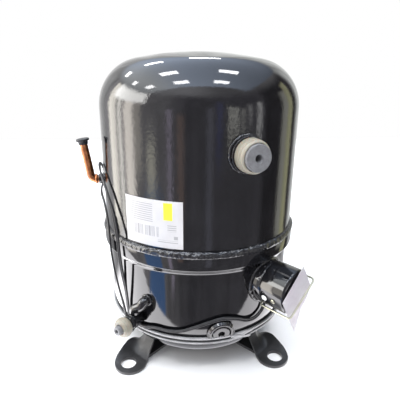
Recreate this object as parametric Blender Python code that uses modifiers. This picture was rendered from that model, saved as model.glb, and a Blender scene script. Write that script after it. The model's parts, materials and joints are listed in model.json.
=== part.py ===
"""Hermetic reciprocating compressor: welded shell, fittings, heater, and the pump and motor inside.

Metres, +Z up. The origin is on the shell's axis at the plane of the feet. The front is -Y, and a
bearing is an angle about Z, from the front towards +X.
"""
import bmesh
import bpy
from math import acos, asin, cos, pi, radians, sin, sqrt
from mathutils import Matrix, Vector

# Shell
GAP = 0.0003
WALL = 0.0032
SHELL_R = 0.124
HEIGHT = 0.382
DOME_KNUCKLE_R = 0.058
DOME_CROWN_R = 0.390
DOME_STEPS = 4
COLLAR_TOP_Z = 0.167
COLLAR_LOW_Z = 0.1495
COLLAR_R = SHELL_R + GAP + WALL
LOWER_R = 0.1205
FLOOR_KNUCKLE_R = 0.065
FLOOR_KNUCKLE_Z = 0.0716
FLOOR_CROWN_R = 0.720
SHELL_SIDES = 40
ROUND_SIDES = 20
SMALL_SIDES = 16

# Feet: the holes are the corners of a 190.5 mm square
HOLE_PITCH = 0.1905
HOLE_R = 0.0097
PLATE = 0.004
EAR_R = 0.0204
EAR_CENTRE = 0.1311
EAR_INNER = 0.1125
ARM_HALF_WIDTH = 0.0095

# Suction connection
SUCTION_BEARING = 19.4
SUCTION_Z = 0.279
SUCTION_BORE_R = 0.0115
SUCTION_STEM_R = 0.0165
SUCTION_PLUG_R = 0.0142
SUCTION_FACE = 0.149

# Discharge connection
DISCHARGE_BEARING = -40.0
DISCHARGE_EXIT_BEARING = -35.0
DISCHARGE_Z = 0.072
DISCHARGE_EXIT_Z = 0.098
DISCHARGE_TUBE_R = 0.0062
DISCHARGE_BODY_R = 0.009
DISCHARGE_FACE = 0.160

# Oil fitting, square to the wall where it sits
OIL_BEARING = 9.5
OIL_Z = 0.062
OIL_R = 0.0175

# Process tube
PROCESS_BEARING = -82.0
PROCESS_Z = 0.228
PROCESS_TUBE_R = 0.0048

# Terminal box
TERMINAL_BEARING = 40.0
TERMINAL_Z = 0.118
BOX_R = 0.027
BOX_FACE = 0.163
FENCE_FRONT = 0.1305
SHEET = 0.0015
BAIL_TILT = 35.0
BAIL_PIVOT = 0.127
BAIL_OFFSET = 0.010
BAIL_REACH = 0.0417
BAIL_HALF_WIDTH = 0.0290
BAIL_WIRE_R = 0.0010
CARD_CORNERS = ((-0.030, 0.000), (0.008, 0.032), (0.031, -0.006), (0.001, -0.053))
CARD_BEND = 0.005
CARD_SHEET = 0.0006

# Belt heater and its lead
BELT_LOW_Z = 0.0460
BELT_TOP_Z = 0.0578
BELT_OUTER_R = 0.1220
BUCKLE_BEARING = 22.0
LEAD_R = 0.0020
LEAD_SPACING = 0.010
# The lead's route: bearing, distance from the axis and height, from the heater to the terminal box
LEAD_ROUTE = (
    (-53.0, 0.1228, 0.0612), (-54.5, 0.1235, 0.0760), (-57.0, 0.1260, 0.1000),
    (-58.5, 0.1292, 0.1300), (-59.0, 0.1310, 0.1580), (-61.0, 0.1300, 0.1850),
    (-68.0, 0.1285, 0.2050), (-80.0, 0.1285, 0.2120), (-91.0, 0.1285, 0.2170),
    (-96.0, 0.1285, 0.2300), (-91.0, 0.1285, 0.2420), (-82.0, 0.1285, 0.2460),
    (-72.0, 0.1285, 0.2400), (-62.0, 0.1285, 0.2240), (-55.0, 0.1290, 0.2020),
    (-51.0, 0.1305, 0.1800), (-49.5, 0.1312, 0.1570), (-49.0, 0.1295, 0.1300),
    (-49.0, 0.1255, 0.1020), (-49.5, 0.1232, 0.0800), (-48.5, 0.1229, 0.0660),
    (-42.0, 0.1228, 0.0603), (-36.0, 0.1228, 0.0607), (-29.0, 0.1228, 0.0650),
    (-20.0, 0.1228, 0.0652), (-13.0, 0.1230, 0.0675), (-6.0, 0.1232, 0.0735),
    (2.0, 0.1232, 0.0800), (10.0, 0.1235, 0.0838), (18.0, 0.1235, 0.0800),
    (25.0, 0.1235, 0.0737), (31.0, 0.1235, 0.0735), (36.0, 0.1236, 0.0800), (38.0, 0.1237, 0.0898))

# Label
LABEL_BEARINGS = (-45.0, -11.5)
LABEL_HEIGHTS = (0.1745, 0.2290)
LABEL_SHEET = 0.0004

# Pump
THROW = 0.007
ROD_LENGTH = 0.042
CYLINDER_HEIGHTS = {"lower": 0.094, "upper": 0.136}
CYLINDER_R = 0.0190
PISTON_R = 0.0186
PISTON_BORE_R = 0.0164
PISTON_LENGTH = 0.033
HEAD_FACE_X = 0.0745
CRANK_PIN_R = 0.0085
WEB_R = 0.0165
JOURNAL_R = 0.0110
LOWER_JOURNAL_R = 0.0090
CHAMBER_R = 0.028

# Motor
STATOR_R = 0.084
STATOR_BORE_R = 0.042
STATOR_HEIGHTS = (0.205, 0.285)
ROTOR_R = 0.0412
POST_CIRCLE_R = 0.0785

# Suspension
SPRING_CIRCLE_R = 0.070
SPRING_BEARINGS = (30.0, 150.0, 270.0)
SPRING_HEIGHTS = (0.0328, 0.0658)
SPRING_R = 0.010
SPRING_WIRE_R = 0.0013
SPRING_TURNS = 3

COLOURS = {
    "black_enamel": ((0.012, 0.012, 0.014), 0.18, 0.0),
    "foot_black": ((0.035, 0.035, 0.037), 0.42, 0.0),
    "steel": ((0.55, 0.55, 0.56), 0.35, 1.0),
    "cast_iron": ((0.23, 0.22, 0.21), 0.65, 1.0),
    "copper": ((0.72, 0.36, 0.20), 0.32, 1.0),
    "winding": ((0.60, 0.26, 0.12), 0.40, 0.8),
    "aluminium": ((0.75, 0.75, 0.76), 0.35, 1.0),
    "zinc": ((0.78, 0.74, 0.52), 0.30, 1.0),
    "cream_plastic": ((0.72, 0.70, 0.57), 0.45, 0.0),
    "grey_rubber": ((0.26, 0.26, 0.28), 0.60, 0.0),
    "black_rubber": ((0.03, 0.03, 0.03), 0.60, 0.0),
    "white_plastic": ((0.90, 0.90, 0.88), 0.40, 0.0),
    "paper": ((0.88, 0.86, 0.88), 0.80, 0.0),
}


# ---------------------------------------------------------------- scene and helpers

def start_scene():
    for old in list(bpy.data.objects):
        bpy.data.objects.remove(old, do_unlink=True)
    for name in ("hermetic_compressor", "cutters"):
        bpy.context.scene.collection.children.link(bpy.data.collections.new(name))


def material(name):
    if name in bpy.data.materials:
        return bpy.data.materials[name]
    colour, roughness, metallic = COLOURS[name]
    made = bpy.data.materials.new(name)
    made.use_nodes = True
    shader = made.node_tree.nodes["Principled BSDF"]
    shader.inputs["Base Color"].default_value = (*colour, 1.0)
    shader.inputs["Roughness"].default_value = roughness
    shader.inputs["Metallic"].default_value = metallic
    return made


def place(obj, name, finish=None):
    """Name the object and put it in the model's collection, or with the cutters when it has no finish."""
    obj.name = name
    obj.data.name = name
    for old in list(obj.users_collection):
        old.objects.unlink(obj)
    if finish:
        obj.data.materials.append(material(finish))
        bpy.data.collections["hermetic_compressor"].objects.link(obj)
        if obj.type == "MESH":
            obj.data.shade_smooth()
            obj.data.set_sharp_from_angle(angle=radians(30))
    else:
        bpy.data.collections["cutters"].objects.link(obj)
        obj.hide_render = True
        obj.display_type = "WIRE"
    return obj


def outward(bearing):
    """The level direction at this bearing, away from the shell's axis."""
    return Vector((sin(radians(bearing)), -cos(radians(bearing)), 0))


def at(bearing, distance, height):
    return outward(bearing) * distance + Vector((0, 0, height))


def aim(obj, point, direction):
    """Turn the object's own Z to the direction and put its origin at the point."""
    turn = Vector(direction).to_track_quat("Z", "Y").to_matrix().to_4x4()
    obj.matrix_world = Matrix.Translation(point) @ turn
    return obj


def radial(obj, bearing, height):
    """Stand a piece on the shell's axis, so that its own Z is the distance outward."""
    return aim(obj, Vector((0, 0, height)), outward(bearing))


def arc(centre_r, centre_z, radius, start, end, steps):
    """Points of an arc in the profile plane, by angle above level in degrees."""
    angles = [radians(start + (end - start) * i / steps) for i in range(steps + 1)]
    return [(centre_r + radius * cos(a), centre_z + radius * sin(a)) for a in angles]


def turned(name, profile, finish=None, sides=SMALL_SIDES):
    """A solid turned about Z. The profile is (radius, height), and runs down its outer side.

    A profile that starts and ends on the axis stays open, and any other is closed.
    """
    mesh = bpy.data.meshes.new(name)
    count = len(profile)
    edges = [(i, i + 1) for i in range(count - 1)]
    if profile[0][0] > 0 or profile[-1][0] > 0:
        edges.append((count - 1, 0))
    mesh.from_pydata([(r, 0, z) for r, z in profile], edges, [])
    obj = place(bpy.data.objects.new(name, mesh), name, finish)
    screw = obj.modifiers.new("turn", "SCREW")
    screw.steps = screw.render_steps = sides
    screw.axis = "Z"
    screw.use_merge_vertices = True
    screw.merge_threshold = 0.00005
    return obj


def running_bore(radius):
    """A bore whose flats clear a shaft of this radius as it turns."""
    return (radius + 0.0001) / cos(pi / SMALL_SIDES)


def disc(name, radius, low, high, finish=None, sides=SMALL_SIDES):
    return turned(name, [(0, high), (radius, high), (radius, low), (0, low)], finish, sides)


def ring(name, inner, outer, low, high, finish=None, sides=SMALL_SIDES):
    return turned(name, [(outer, high), (outer, low), (inner, low), (inner, high)], finish, sides)


def box(name, low, high, finish=None):
    low = Vector(low)
    high = Vector(high)
    bpy.ops.mesh.primitive_cube_add(size=1)
    obj = place(bpy.context.object, name, finish)
    size = high - low
    middle = (high + low) / 2
    for vertex in obj.data.vertices:
        vertex.co = Vector((vertex.co.x * size.x, vertex.co.y * size.y, vertex.co.z * size.z)) + middle
    return obj


def outline(name, points, thickness, finish=None):
    """A flat plate from a closed outline, standing on its own z = 0."""
    curve = bpy.data.curves.new(name, "CURVE")
    curve.dimensions = "2D"
    curve.fill_mode = "BOTH"
    curve.extrude = thickness / 2
    spline = curve.splines.new("POLY")
    spline.points.add(len(points) - 1)
    for point, (x, y) in zip(spline.points, points):
        point.co = (x, y, 0, 1)
    spline.use_cyclic_u = True
    obj = place(bpy.data.objects.new(name, curve), name)
    obj.location.z = thickness / 2
    return as_mesh(obj, name, finish)


def wire(name, points, radius, finish=None, resolution=2, cyclic=False):
    """A round wire or tube through the points, with filled ends."""
    curve = bpy.data.curves.new(name, "CURVE")
    curve.dimensions = "3D"
    curve.bevel_depth = radius
    curve.bevel_resolution = resolution
    curve.use_fill_caps = not cyclic
    spline = curve.splines.new("POLY")
    spline.points.add(len(points) - 1)
    for point, co in zip(spline.points, points):
        point.co = (*co, 1)
    spline.use_cyclic_u = cyclic
    obj = place(bpy.data.objects.new(name, curve), name)
    return as_mesh(obj, name, finish)


def as_mesh(obj, name, finish):
    """Replace a curve object by its welded mesh, which can be cut and joined."""
    bpy.context.view_layer.update()
    mesh = bpy.data.meshes.new_from_object(obj.evaluated_get(bpy.context.evaluated_depsgraph_get()))
    work = bmesh.new()
    work.from_mesh(mesh)
    bmesh.ops.remove_doubles(work, verts=work.verts, dist=0.00002)
    bmesh.ops.recalc_face_normals(work, faces=work.faces)
    work.to_mesh(mesh)
    work.free()
    mesh.materials.clear()
    matrix = obj.matrix_world.copy()
    bpy.data.objects.remove(obj, do_unlink=True)
    made = place(bpy.data.objects.new(name, mesh), name, finish)
    made.matrix_world = matrix
    return made


def boolean(obj, other, operation):
    step = obj.modifiers.new(operation.lower(), "BOOLEAN")
    step.operation = operation
    step.object = other
    return obj


def cut(obj, *cutters):
    for cutter in cutters:
        boolean(obj, cutter, "DIFFERENCE")
    return obj


def join(obj, *others):
    for other in others:
        boolean(obj, other, "UNION")
    return obj


def smooth_route(route, spacing):
    """Even points along a smooth curve through the route's points."""
    points = [route[0] * 2 - route[1], *route, route[-1] * 2 - route[-2]]
    fine = []
    for a, b, c, d in zip(points, points[1:], points[2:], points[3:]):
        for step in range(12):
            t = step / 12
            fine.append(0.5 * (2 * b + (c - a) * t + (2 * a - 5 * b + 4 * c - d) * t ** 2
                               + (3 * b - 3 * c + d - a) * t ** 3))
    fine.append(route[-1])
    length = sum((q - p).length for p, q in zip(fine, fine[1:]))
    count = max(2, round(length / spacing))
    even = [fine[0]]
    walked = 0.0
    for p, q in zip(fine, fine[1:]):
        step = (q - p).length
        while walked + step >= length * len(even) / count and len(even) < count:
            even.append(p.lerp(q, (length * len(even) / count - walked) / step))
        walked += step
    return [*even, fine[-1]]


# ---------------------------------------------------------------- shell

def dome_profile(radius, knuckle, crown, top, steps):
    """A torispherical head, from its top down to where the straight wall starts."""
    lean = asin((radius - knuckle) / (crown - knuckle))
    knuckle_z = top - crown + (crown - knuckle) * cos(lean)
    crown_arc = [(crown * sin(lean * i / steps), top - crown + crown * cos(lean * i / steps))
                 for i in range(steps)]
    return crown_arc + arc(radius - knuckle, knuckle_z, knuckle, 90 - lean * 180 / pi, 0, steps + 1)


def floor_profile(inset, steps=3):
    """The lower shell's surface from its straight wall down to the axis, moved inward by the inset."""
    side_r = LOWER_R - FLOOR_KNUCKLE_R
    lean = asin(side_r / (FLOOR_CROWN_R - FLOOR_KNUCKLE_R))
    crown_z = FLOOR_KNUCKLE_Z + (FLOOR_CROWN_R - FLOOR_KNUCKLE_R) * cos(lean)
    knuckle = arc(side_r, FLOOR_KNUCKLE_Z, FLOOR_KNUCKLE_R - inset, 0, lean * 180 / pi - 90, steps + 3)
    crown = [((FLOOR_CROWN_R - inset) * sin(lean * i / steps),
              crown_z - (FLOOR_CROWN_R - inset) * cos(lean * i / steps)) for i in range(steps - 1, -1, -1)]
    return knuckle + crown


def wall_radius(height):
    """The lower shell's outer radius at a height below its straight wall."""
    drop = FLOOR_KNUCKLE_Z - height
    return LOWER_R - FLOOR_KNUCKLE_R + sqrt(FLOOR_KNUCKLE_R ** 2 - drop ** 2)


def shell_envelope(name):
    """A cutter of the whole shell's outer form, a gap larger all round."""
    dome = dome_profile(SHELL_R + GAP, DOME_KNUCKLE_R + GAP, DOME_CROWN_R + GAP, HEIGHT + GAP, DOME_STEPS)
    collar = [(SHELL_R + GAP, COLLAR_TOP_Z + GAP), (COLLAR_R + GAP, COLLAR_TOP_Z + GAP),
              (COLLAR_R + GAP, COLLAR_LOW_Z - GAP), (LOWER_R + GAP, COLLAR_LOW_Z - 0.006)]
    return turned(name, dome + collar + floor_profile(-GAP), sides=SHELL_SIDES)


def make_shell():
    outer = dome_profile(SHELL_R, DOME_KNUCKLE_R, DOME_CROWN_R, HEIGHT, DOME_STEPS)
    inner = dome_profile(SHELL_R - WALL, DOME_KNUCKLE_R - WALL, DOME_CROWN_R - WALL, HEIGHT - WALL,
                         DOME_STEPS)
    rim_z = COLLAR_LOW_Z + WALL
    rims = [(SHELL_R, rim_z), (SHELL_R - WALL, rim_z)]
    upper = turned("upper_shell", outer + rims + inner[::-1], "black_enamel", SHELL_SIDES)
    inside = floor_profile(WALL)[::-1]
    collar = [(LOWER_R - WALL, rim_z - GAP), (SHELL_R + GAP, rim_z - GAP), (SHELL_R + GAP, COLLAR_TOP_Z),
              (COLLAR_R, COLLAR_TOP_Z), (COLLAR_R, COLLAR_LOW_Z), (LOWER_R, COLLAR_LOW_Z - 0.006)]
    lower = turned("lower_shell", inside + collar + floor_profile(0), "black_enamel", SHELL_SIDES)
    bead = [(SHELL_R + GAP, COLLAR_TOP_Z + 0.0048), (SHELL_R + 0.0016, COLLAR_TOP_Z + 0.0042),
            (COLLAR_R - 0.0004, COLLAR_TOP_Z + 0.0018), (COLLAR_R - 0.0002, COLLAR_TOP_Z + GAP),
            (SHELL_R + GAP, COLLAR_TOP_Z + GAP)]
    turned("weld_bead", bead, "black_enamel", SHELL_SIDES)
    return upper, lower


# ---------------------------------------------------------------- feet

def make_feet(envelope):
    """A cross-shaped plate under the shell, and a stamped foot welded to the end of each arm."""
    corner = HOLE_PITCH / sqrt(2)
    reach = EAR_INNER - GAP
    half = ARM_HALF_WIDTH
    quarter = [(reach, -half), (reach, half), (half, half)]
    points = []
    for turn in range(4):
        c, s = ((1, 0), (0, 1), (-1, 0), (0, -1))[turn]
        points += [(x * c - y * s, x * s + y * c) for x, y in quarter]
    cross = outline("cross_plate", points, PLATE, "foot_black")
    cross.rotation_euler.z = radians(45)
    half_width = sqrt(EAR_R ** 2 - 0.006 ** 2)
    lobe_end = acos(0.006 / EAR_R)
    lobe = [(EAR_CENTRE + EAR_R * cos(a), EAR_R * sin(a))
            for a in [-lobe_end + 2 * lobe_end * i / 14 for i in range(15)]]
    ear_points = [(EAR_INNER, half_width), (EAR_INNER, -half_width), *lobe]
    names = {"foot_front_left": 225, "foot_front_right": 315, "foot_back_right": 45, "foot_back_left": 135}
    for name, turn in names.items():
        foot = outline(name, ear_points, PLATE, "foot_black")
        hole = disc(name + "_hole", HOLE_R, -0.01, 0.02)
        hole.location.x = corner
        riser = outline(name + "_riser", [(0.1150, 0.0002), (0.1190, PLATE - 0.0002), (0.1150, 0.0075),
                                          (0.0940, 0.0385), (0.0900, 0.0360)], 2 * half_width - 0.002)
        riser.matrix_world = Matrix.Rotation(radians(90), 4, "X")
        join(foot, riser)
        cut(foot, hole, envelope)
        rotation = Matrix.Rotation(radians(turn), 4, "Z")
        for piece in (foot, hole, riser):
            piece.matrix_world = rotation @ piece.matrix_world


# ---------------------------------------------------------------- fittings

def make_suction(upper):
    hole = disc("suction_hole", SUCTION_STEM_R + GAP, 0.100, 0.140)
    cut(upper, radial(hole, SUCTION_BEARING, SUCTION_Z))
    stem = SUCTION_STEM_R
    spud = turned("suction_spud", [
        (0.0150, 0.1405), (0.0150, 0.1292), (0.0195, 0.1292), (0.0195, 0.1200), (stem, 0.1200),
        (stem, 0.1140), (SUCTION_BORE_R, 0.1140), (SUCTION_BORE_R, 0.1405)], "black_enamel", ROUND_SIDES)
    radial(spud, SUCTION_BEARING, SUCTION_Z)
    flange_cut = ring("suction_flange_relief", stem, 0.030, 0.100, 0.1262)
    radial(flange_cut, SUCTION_BEARING, SUCTION_Z)
    cut(spud, flange_cut)
    cap = turned("suction_thread_cap", [
        (0.0168, 0.1452), (0.0177, 0.1440), (0.0180, 0.1420), (0.0180, 0.1310), (0.0174, 0.1295),
        (0.0153, 0.1295), (0.0153, 0.1408), (0.0146, 0.1408), (0.0146, 0.1452)], "cream_plastic", ROUND_SIDES)
    radial(cap, SUCTION_BEARING, SUCTION_Z)
    face = SUCTION_FACE
    plug = turned("suction_plug", [
        (0.0036, face), (SUCTION_PLUG_R - 0.0008, face), (SUCTION_PLUG_R, face - 0.0008),
        (SUCTION_PLUG_R, 0.1409), (SUCTION_BORE_R - GAP, 0.1409), (SUCTION_BORE_R - 0.0006, 0.1200),
        (0, 0.1200), (0, 0.1360), (0.0036, 0.1360)], "grey_rubber", ROUND_SIDES)
    radial(plug, SUCTION_BEARING, SUCTION_Z)


def make_discharge(lower):
    route = [at(DISCHARGE_EXIT_BEARING, 0.1120, DISCHARGE_EXIT_Z),
             at(DISCHARGE_EXIT_BEARING, 0.1215, DISCHARGE_EXIT_Z),
             at(DISCHARGE_EXIT_BEARING - 0.5, 0.1256, DISCHARGE_EXIT_Z - 0.0016),
             at(DISCHARGE_EXIT_BEARING - 1.5, 0.1277, DISCHARGE_EXIT_Z - 0.0062),
             at(DISCHARGE_BEARING + 0.5, 0.1300, DISCHARGE_Z + 0.0150),
             at(DISCHARGE_BEARING, 0.1300, DISCHARGE_Z + DISCHARGE_BODY_R + 0.0010)]
    wire("discharge_tube", smooth_route(route, 0.003), DISCHARGE_TUBE_R, "black_enamel", 3)
    hole = disc("discharge_hole", DISCHARGE_TUBE_R + GAP, 0.100, 0.130)
    cut(lower, radial(hole, DISCHARGE_EXIT_BEARING, DISCHARGE_EXIT_Z))
    body = DISCHARGE_BODY_R
    spud = turned("discharge_spud", [
        (0.0070, 0.1520), (0.0070, 0.1372), (body, 0.1368), (body, 0.1232), (body - 0.0008, 0.1224),
        (0, 0.1224), (0, 0.1300), (0.0052, 0.1300), (0.0052, 0.1520)], "black_enamel")
    radial(spud, DISCHARGE_BEARING, DISCHARGE_Z)
    nut = ring("discharge_nut", 0.0068, 0.0108, 0.1376, 0.1417, "black_enamel", 6)
    radial(nut, DISCHARGE_BEARING, DISCHARGE_Z)
    bore = disc("discharge_nut_bore", 0.0073, 0.130, 0.150)
    cut(nut, radial(bore, DISCHARGE_BEARING, DISCHARGE_Z))
    bulb = arc(0.0040, 0.1492, 0.0078, 48, -64, 7)
    cap = turned("discharge_thread_cap", [*bulb, (0.0073, 0.1421), (0.0073, 0.1524), (0.0063, 0.1530),
                                          (0.0063, 0.1550)], "cream_plastic")
    radial(cap, DISCHARGE_BEARING, DISCHARGE_Z)
    face = DISCHARGE_FACE
    plug = turned("discharge_plug", [
        (0.0016, face), (0.0050, face), (0.0056, face - 0.0006), (0.0056, 0.1524), (0.0049, 0.1520),
        (0.0049, 0.1420), (0, 0.1420), (0, 0.1540), (0.0016, 0.1540)], "grey_rubber")
    radial(plug, DISCHARGE_BEARING, DISCHARGE_Z)


def oil_place(obj):
    """Stand a piece on the wall's own normal at the oil fitting, its Z outward from the wall."""
    dip = asin((FLOOR_KNUCKLE_Z - OIL_Z) / FLOOR_KNUCKLE_R)
    direction = outward(OIL_BEARING) * cos(dip) - Vector((0, 0, sin(dip)))
    return aim(obj, at(OIL_BEARING, wall_radius(OIL_Z), OIL_Z), direction)


def make_oil_fitting(lower):
    hole = oil_place(disc("oil_hole", 0.0150 + GAP, -0.012, 0.010))
    cut(lower, hole)
    fitting = turned("oil_fitting", [
        (0.0128, 0.0034), (0.0152, 0.0034), (0.0158, 0.0026), (0.0166, 0.0026), (OIL_R, 0.0018),
        (OIL_R, 0.0010), (0.0150, 0.0010), (0.0150, -0.0060), (0.0118, -0.0060), (0.0118, 0.0034)],
        "black_enamel", ROUND_SIDES)
    oil_place(fitting)
    relief = turned("oil_belt_relief", [
        (0.130, BELT_TOP_Z + GAP), (0.130, 0.030), (0.106, 0.030), (0.106, BELT_TOP_Z + GAP)],
        sides=SHELL_SIDES)
    cut(fitting, relief)
    plug = turned("oil_fitting_plug", [
        (0.0040, 0.0030), (0.0098, 0.0030), (0.0112, 0.0016), (0.0115, -0.0050), (0, -0.0050),
        (0, -0.0010), (0.0040, -0.0010)], "black_enamel")
    oil_place(plug)
    cut(plug, relief)


def make_process_tube(upper):
    stub = ring("process_stub", 0.0030, 0.0062, 0.1150, 0.1305, "black_enamel", 16)
    radial(stub, PROCESS_BEARING, PROCESS_Z)
    hole = disc("process_hole", 0.0062 + GAP, 0.100, 0.135, sides=16)
    cut(upper, radial(hole, PROCESS_BEARING, PROCESS_Z))
    route = [at(PROCESS_BEARING, 0.1309, PROCESS_Z), at(PROCESS_BEARING, 0.1348, PROCESS_Z),
             at(PROCESS_BEARING, 0.1374, PROCESS_Z + 0.0012),
             at(PROCESS_BEARING, 0.1398, PROCESS_Z + 0.0045), at(PROCESS_BEARING, 0.1408, PROCESS_Z + 0.011),
             at(PROCESS_BEARING, 0.1424, PROCESS_Z + 0.022), at(PROCESS_BEARING, 0.1462, 0.2755)]
    wire("process_tube", smooth_route(route, 0.0035), PROCESS_TUBE_R, "copper", 3)
    lean = (route[-1] - route[-2]).normalized()
    cap = turned("process_tube_cap", [
        (0, 0.0042), (0.0078, 0.0042), (0.0082, 0.0030), (0.0076, 0.0012), (0.0057, 0.0010),
        (0.0055, -0.0030), (PROCESS_TUBE_R + GAP, -0.0030), (PROCESS_TUBE_R + GAP, GAP), (0, GAP)],
        "black_rubber")
    aim(cap, route[-1], lean)


# ---------------------------------------------------------------- terminal box

def box_axes():
    """The terminal box's own directions: out of its face, level to the right, and up."""
    out = outward(TERMINAL_BEARING)
    return out, Vector((0, 0, 1)).cross(out), Vector((0, 0, 1))


def on_box(out_distance, across, up):
    out, right, upward = box_axes()
    return out * out_distance + right * across + upward * up + Vector((0, 0, TERMINAL_Z))


def bail_point(along, over, out_distance):
    """A point by its place along the bail's pivot axis, across it, and outward."""
    tilt = radians(BAIL_TILT)
    across = along * cos(tilt) + (BAIL_OFFSET + over) * sin(tilt)
    up = along * sin(tilt) - (BAIL_OFFSET + over) * cos(tilt)
    return on_box(out_distance, across, up)


def make_terminal_box(lower, envelope):
    fence = ring("terminal_fence", BOX_R - SHEET, BOX_R, 0.105, FENCE_FRONT, "black_enamel", ROUND_SIDES)
    radial(fence, TERMINAL_BEARING, TERMINAL_Z)
    cover = turned("terminal_cover", [
        (0, BOX_FACE), (BOX_R - 0.0018, BOX_FACE), (BOX_R - 0.0004, BOX_FACE - 0.0006),
        (BOX_R + 0.0002, BOX_FACE - 0.0020), (BOX_R + 0.0002, FENCE_FRONT + GAP),
        (BOX_R - 0.0012, FENCE_FRONT + GAP), (BOX_R - 0.0012, BOX_FACE - SHEET), (0, BOX_FACE - SHEET)],
        "black_enamel", ROUND_SIDES)
    radial(cover, TERMINAL_BEARING, TERMINAL_Z)
    pivot = disc("bail_pivot_hole", BAIL_WIRE_R + 0.0004, -0.04, 0.04, sides=12)
    aim(pivot, bail_point(0, 0, BAIL_PIVOT), bail_point(1, 0, BAIL_PIVOT) - bail_point(0, 0, BAIL_PIVOT))
    cut(fence, envelope, pivot)
    half = BAIL_HALF_WIDTH
    bend = 0.003
    front = BAIL_PIVOT + BAIL_REACH
    path = [bail_point(-0.0222, 0, BAIL_PIVOT), bail_point(-half + 0.0012, 0, BAIL_PIVOT),
            bail_point(-half, 0, BAIL_PIVOT + 0.0012), bail_point(-half, 0, front - bend),
            bail_point(-half + bend * 0.3, 0, front - bend * 0.3), bail_point(-half + bend, 0, front),
            bail_point(half - bend, 0, front), bail_point(half - bend * 0.3, 0, front - bend * 0.3),
            bail_point(half, 0, front - bend), bail_point(half, 0, BAIL_PIVOT + 0.0012),
            bail_point(half - 0.0012, 0, BAIL_PIVOT), bail_point(0.0222, 0, BAIL_PIVOT)]
    wire("terminal_bail", path, BAIL_WIRE_R, "zinc", 2)
    terminal = disc("hermetic_terminal", 0.0165, 0.1160, 0.1262, "steel")
    radial(terminal, TERMINAL_BEARING, TERMINAL_Z)
    seat = disc("terminal_hole", 0.0165 + GAP, 0.100, 0.140)
    cut(lower, radial(seat, TERMINAL_BEARING, TERMINAL_Z))
    for number, angle in enumerate((90, 210, 330)):
        pin = disc("terminal_pin_%d" % number, 0.0016, 0.108, 0.1380, sides=8)
        pin.matrix_world = aim(pin, on_box(0, 0.0075 * cos(radians(angle)), 0.0075 * sin(radians(angle))),
                               outward(TERMINAL_BEARING)).matrix_world
        join(terminal, pin)
    connector = box("cluster_connector", (-0.011, -0.0125, 0.1384), (0.011, 0.0125, 0.1500), "black_rubber")
    aim(connector, Vector((0, 0, TERMINAL_Z)), outward(TERMINAL_BEARING))
    make_box_fastener("conduit_plug", cover, 0.1380, 194.0, 0.0036, "white_plastic")
    make_box_fastener("ground_screw", cover, 0.1500, 193.0, 0.0028, "zinc")
    make_card()


def make_box_fastener(name, cover, out_distance, angle, radius, finish):
    """A small round piece through the side of the box."""
    out, right, upward = box_axes()
    direction = right * cos(radians(angle)) + upward * sin(radians(angle))
    point = on_box(out_distance, 0, 0)
    piece = turned(name, [(0, BOX_R + 0.0018), (radius * 0.7, BOX_R + 0.0017), (radius, BOX_R + 0.0010),
                          (radius, BOX_R + 0.0006), (radius * 0.6, BOX_R + 0.0006),
                          (radius * 0.6, BOX_R - 0.0030), (0, BOX_R - 0.0030)], finish, 16)
    aim(piece, point, direction)
    hole = disc(name + "_hole", radius * 0.6 + GAP, 0.020, 0.040, sides=16)
    cut(cover, aim(hole, point, direction))


def make_card():
    """A square paper card held under the bail, with one corner bent back."""
    bpy.ops.mesh.primitive_grid_add(x_subdivisions=6, y_subdivisions=6, size=1)
    card = place(bpy.context.object, "instruction_card", "paper")
    left, top, right, bottom = [Vector(corner) for corner in CARD_CORNERS]
    for vertex in card.data.vertices:
        s = vertex.co.x + 0.5
        t = vertex.co.y + 0.5
        across, up = left.lerp(bottom, s).lerp(top.lerp(right, s), t)
        overhang = max(0.0, sqrt(across ** 2 + up ** 2) - BOX_R)
        back = CARD_BEND * s * t * min(1.0, overhang / CARD_BEND)
        vertex.co = on_box(BOX_FACE + 0.0018 - back, across, up)
    skin = card.modifiers.new("sheet", "SOLIDIFY")
    skin.thickness = CARD_SHEET
    skin.offset = 0


# ---------------------------------------------------------------- heater and label

def make_heater():
    inner = [(wall_radius(BELT_LOW_Z + (BELT_TOP_Z - BELT_LOW_Z) * i / 3) + GAP,
              BELT_LOW_Z + (BELT_TOP_Z - BELT_LOW_Z) * i / 3) for i in range(4)]
    outer_r = BELT_OUTER_R
    turned("heater_belt", [(outer_r - 0.0006, BELT_TOP_Z), (outer_r, BELT_TOP_Z - 0.0006),
                           (outer_r, BELT_LOW_Z + 0.0006), (outer_r - 0.0006, BELT_LOW_Z), *inner],
           "aluminium", SHELL_SIDES)
    clip = box("heater_buckle", (-0.0075, -0.0070, outer_r + GAP), (0.0075, 0.0070, outer_r + 0.0030),
               "steel")
    radial(clip, BUCKLE_BEARING, (BELT_LOW_Z + BELT_TOP_Z) / 2)
    route = [at(*stop) for stop in LEAD_ROUTE]
    wire("heater_lead", smooth_route(route, LEAD_SPACING), LEAD_R, "black_rubber", 2)


def make_label():
    """A paper label that follows the upper shell's wall."""
    low, high = LABEL_HEIGHTS
    first, last = LABEL_BEARINGS
    bpy.ops.mesh.primitive_grid_add(x_subdivisions=12, y_subdivisions=2, size=1)
    label = place(bpy.context.object, "rating_label", "paper")
    for vertex in label.data.vertices:
        vertex.co = at(first + (last - first) * (vertex.co.x + 0.5), SHELL_R + GAP + LABEL_SHEET / 2,
                       low + (high - low) * (vertex.co.y + 0.5))
    skin = label.modifiers.new("sheet", "SOLIDIFY")
    skin.thickness = LABEL_SHEET
    skin.offset = 0


# ---------------------------------------------------------------- pump

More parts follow.
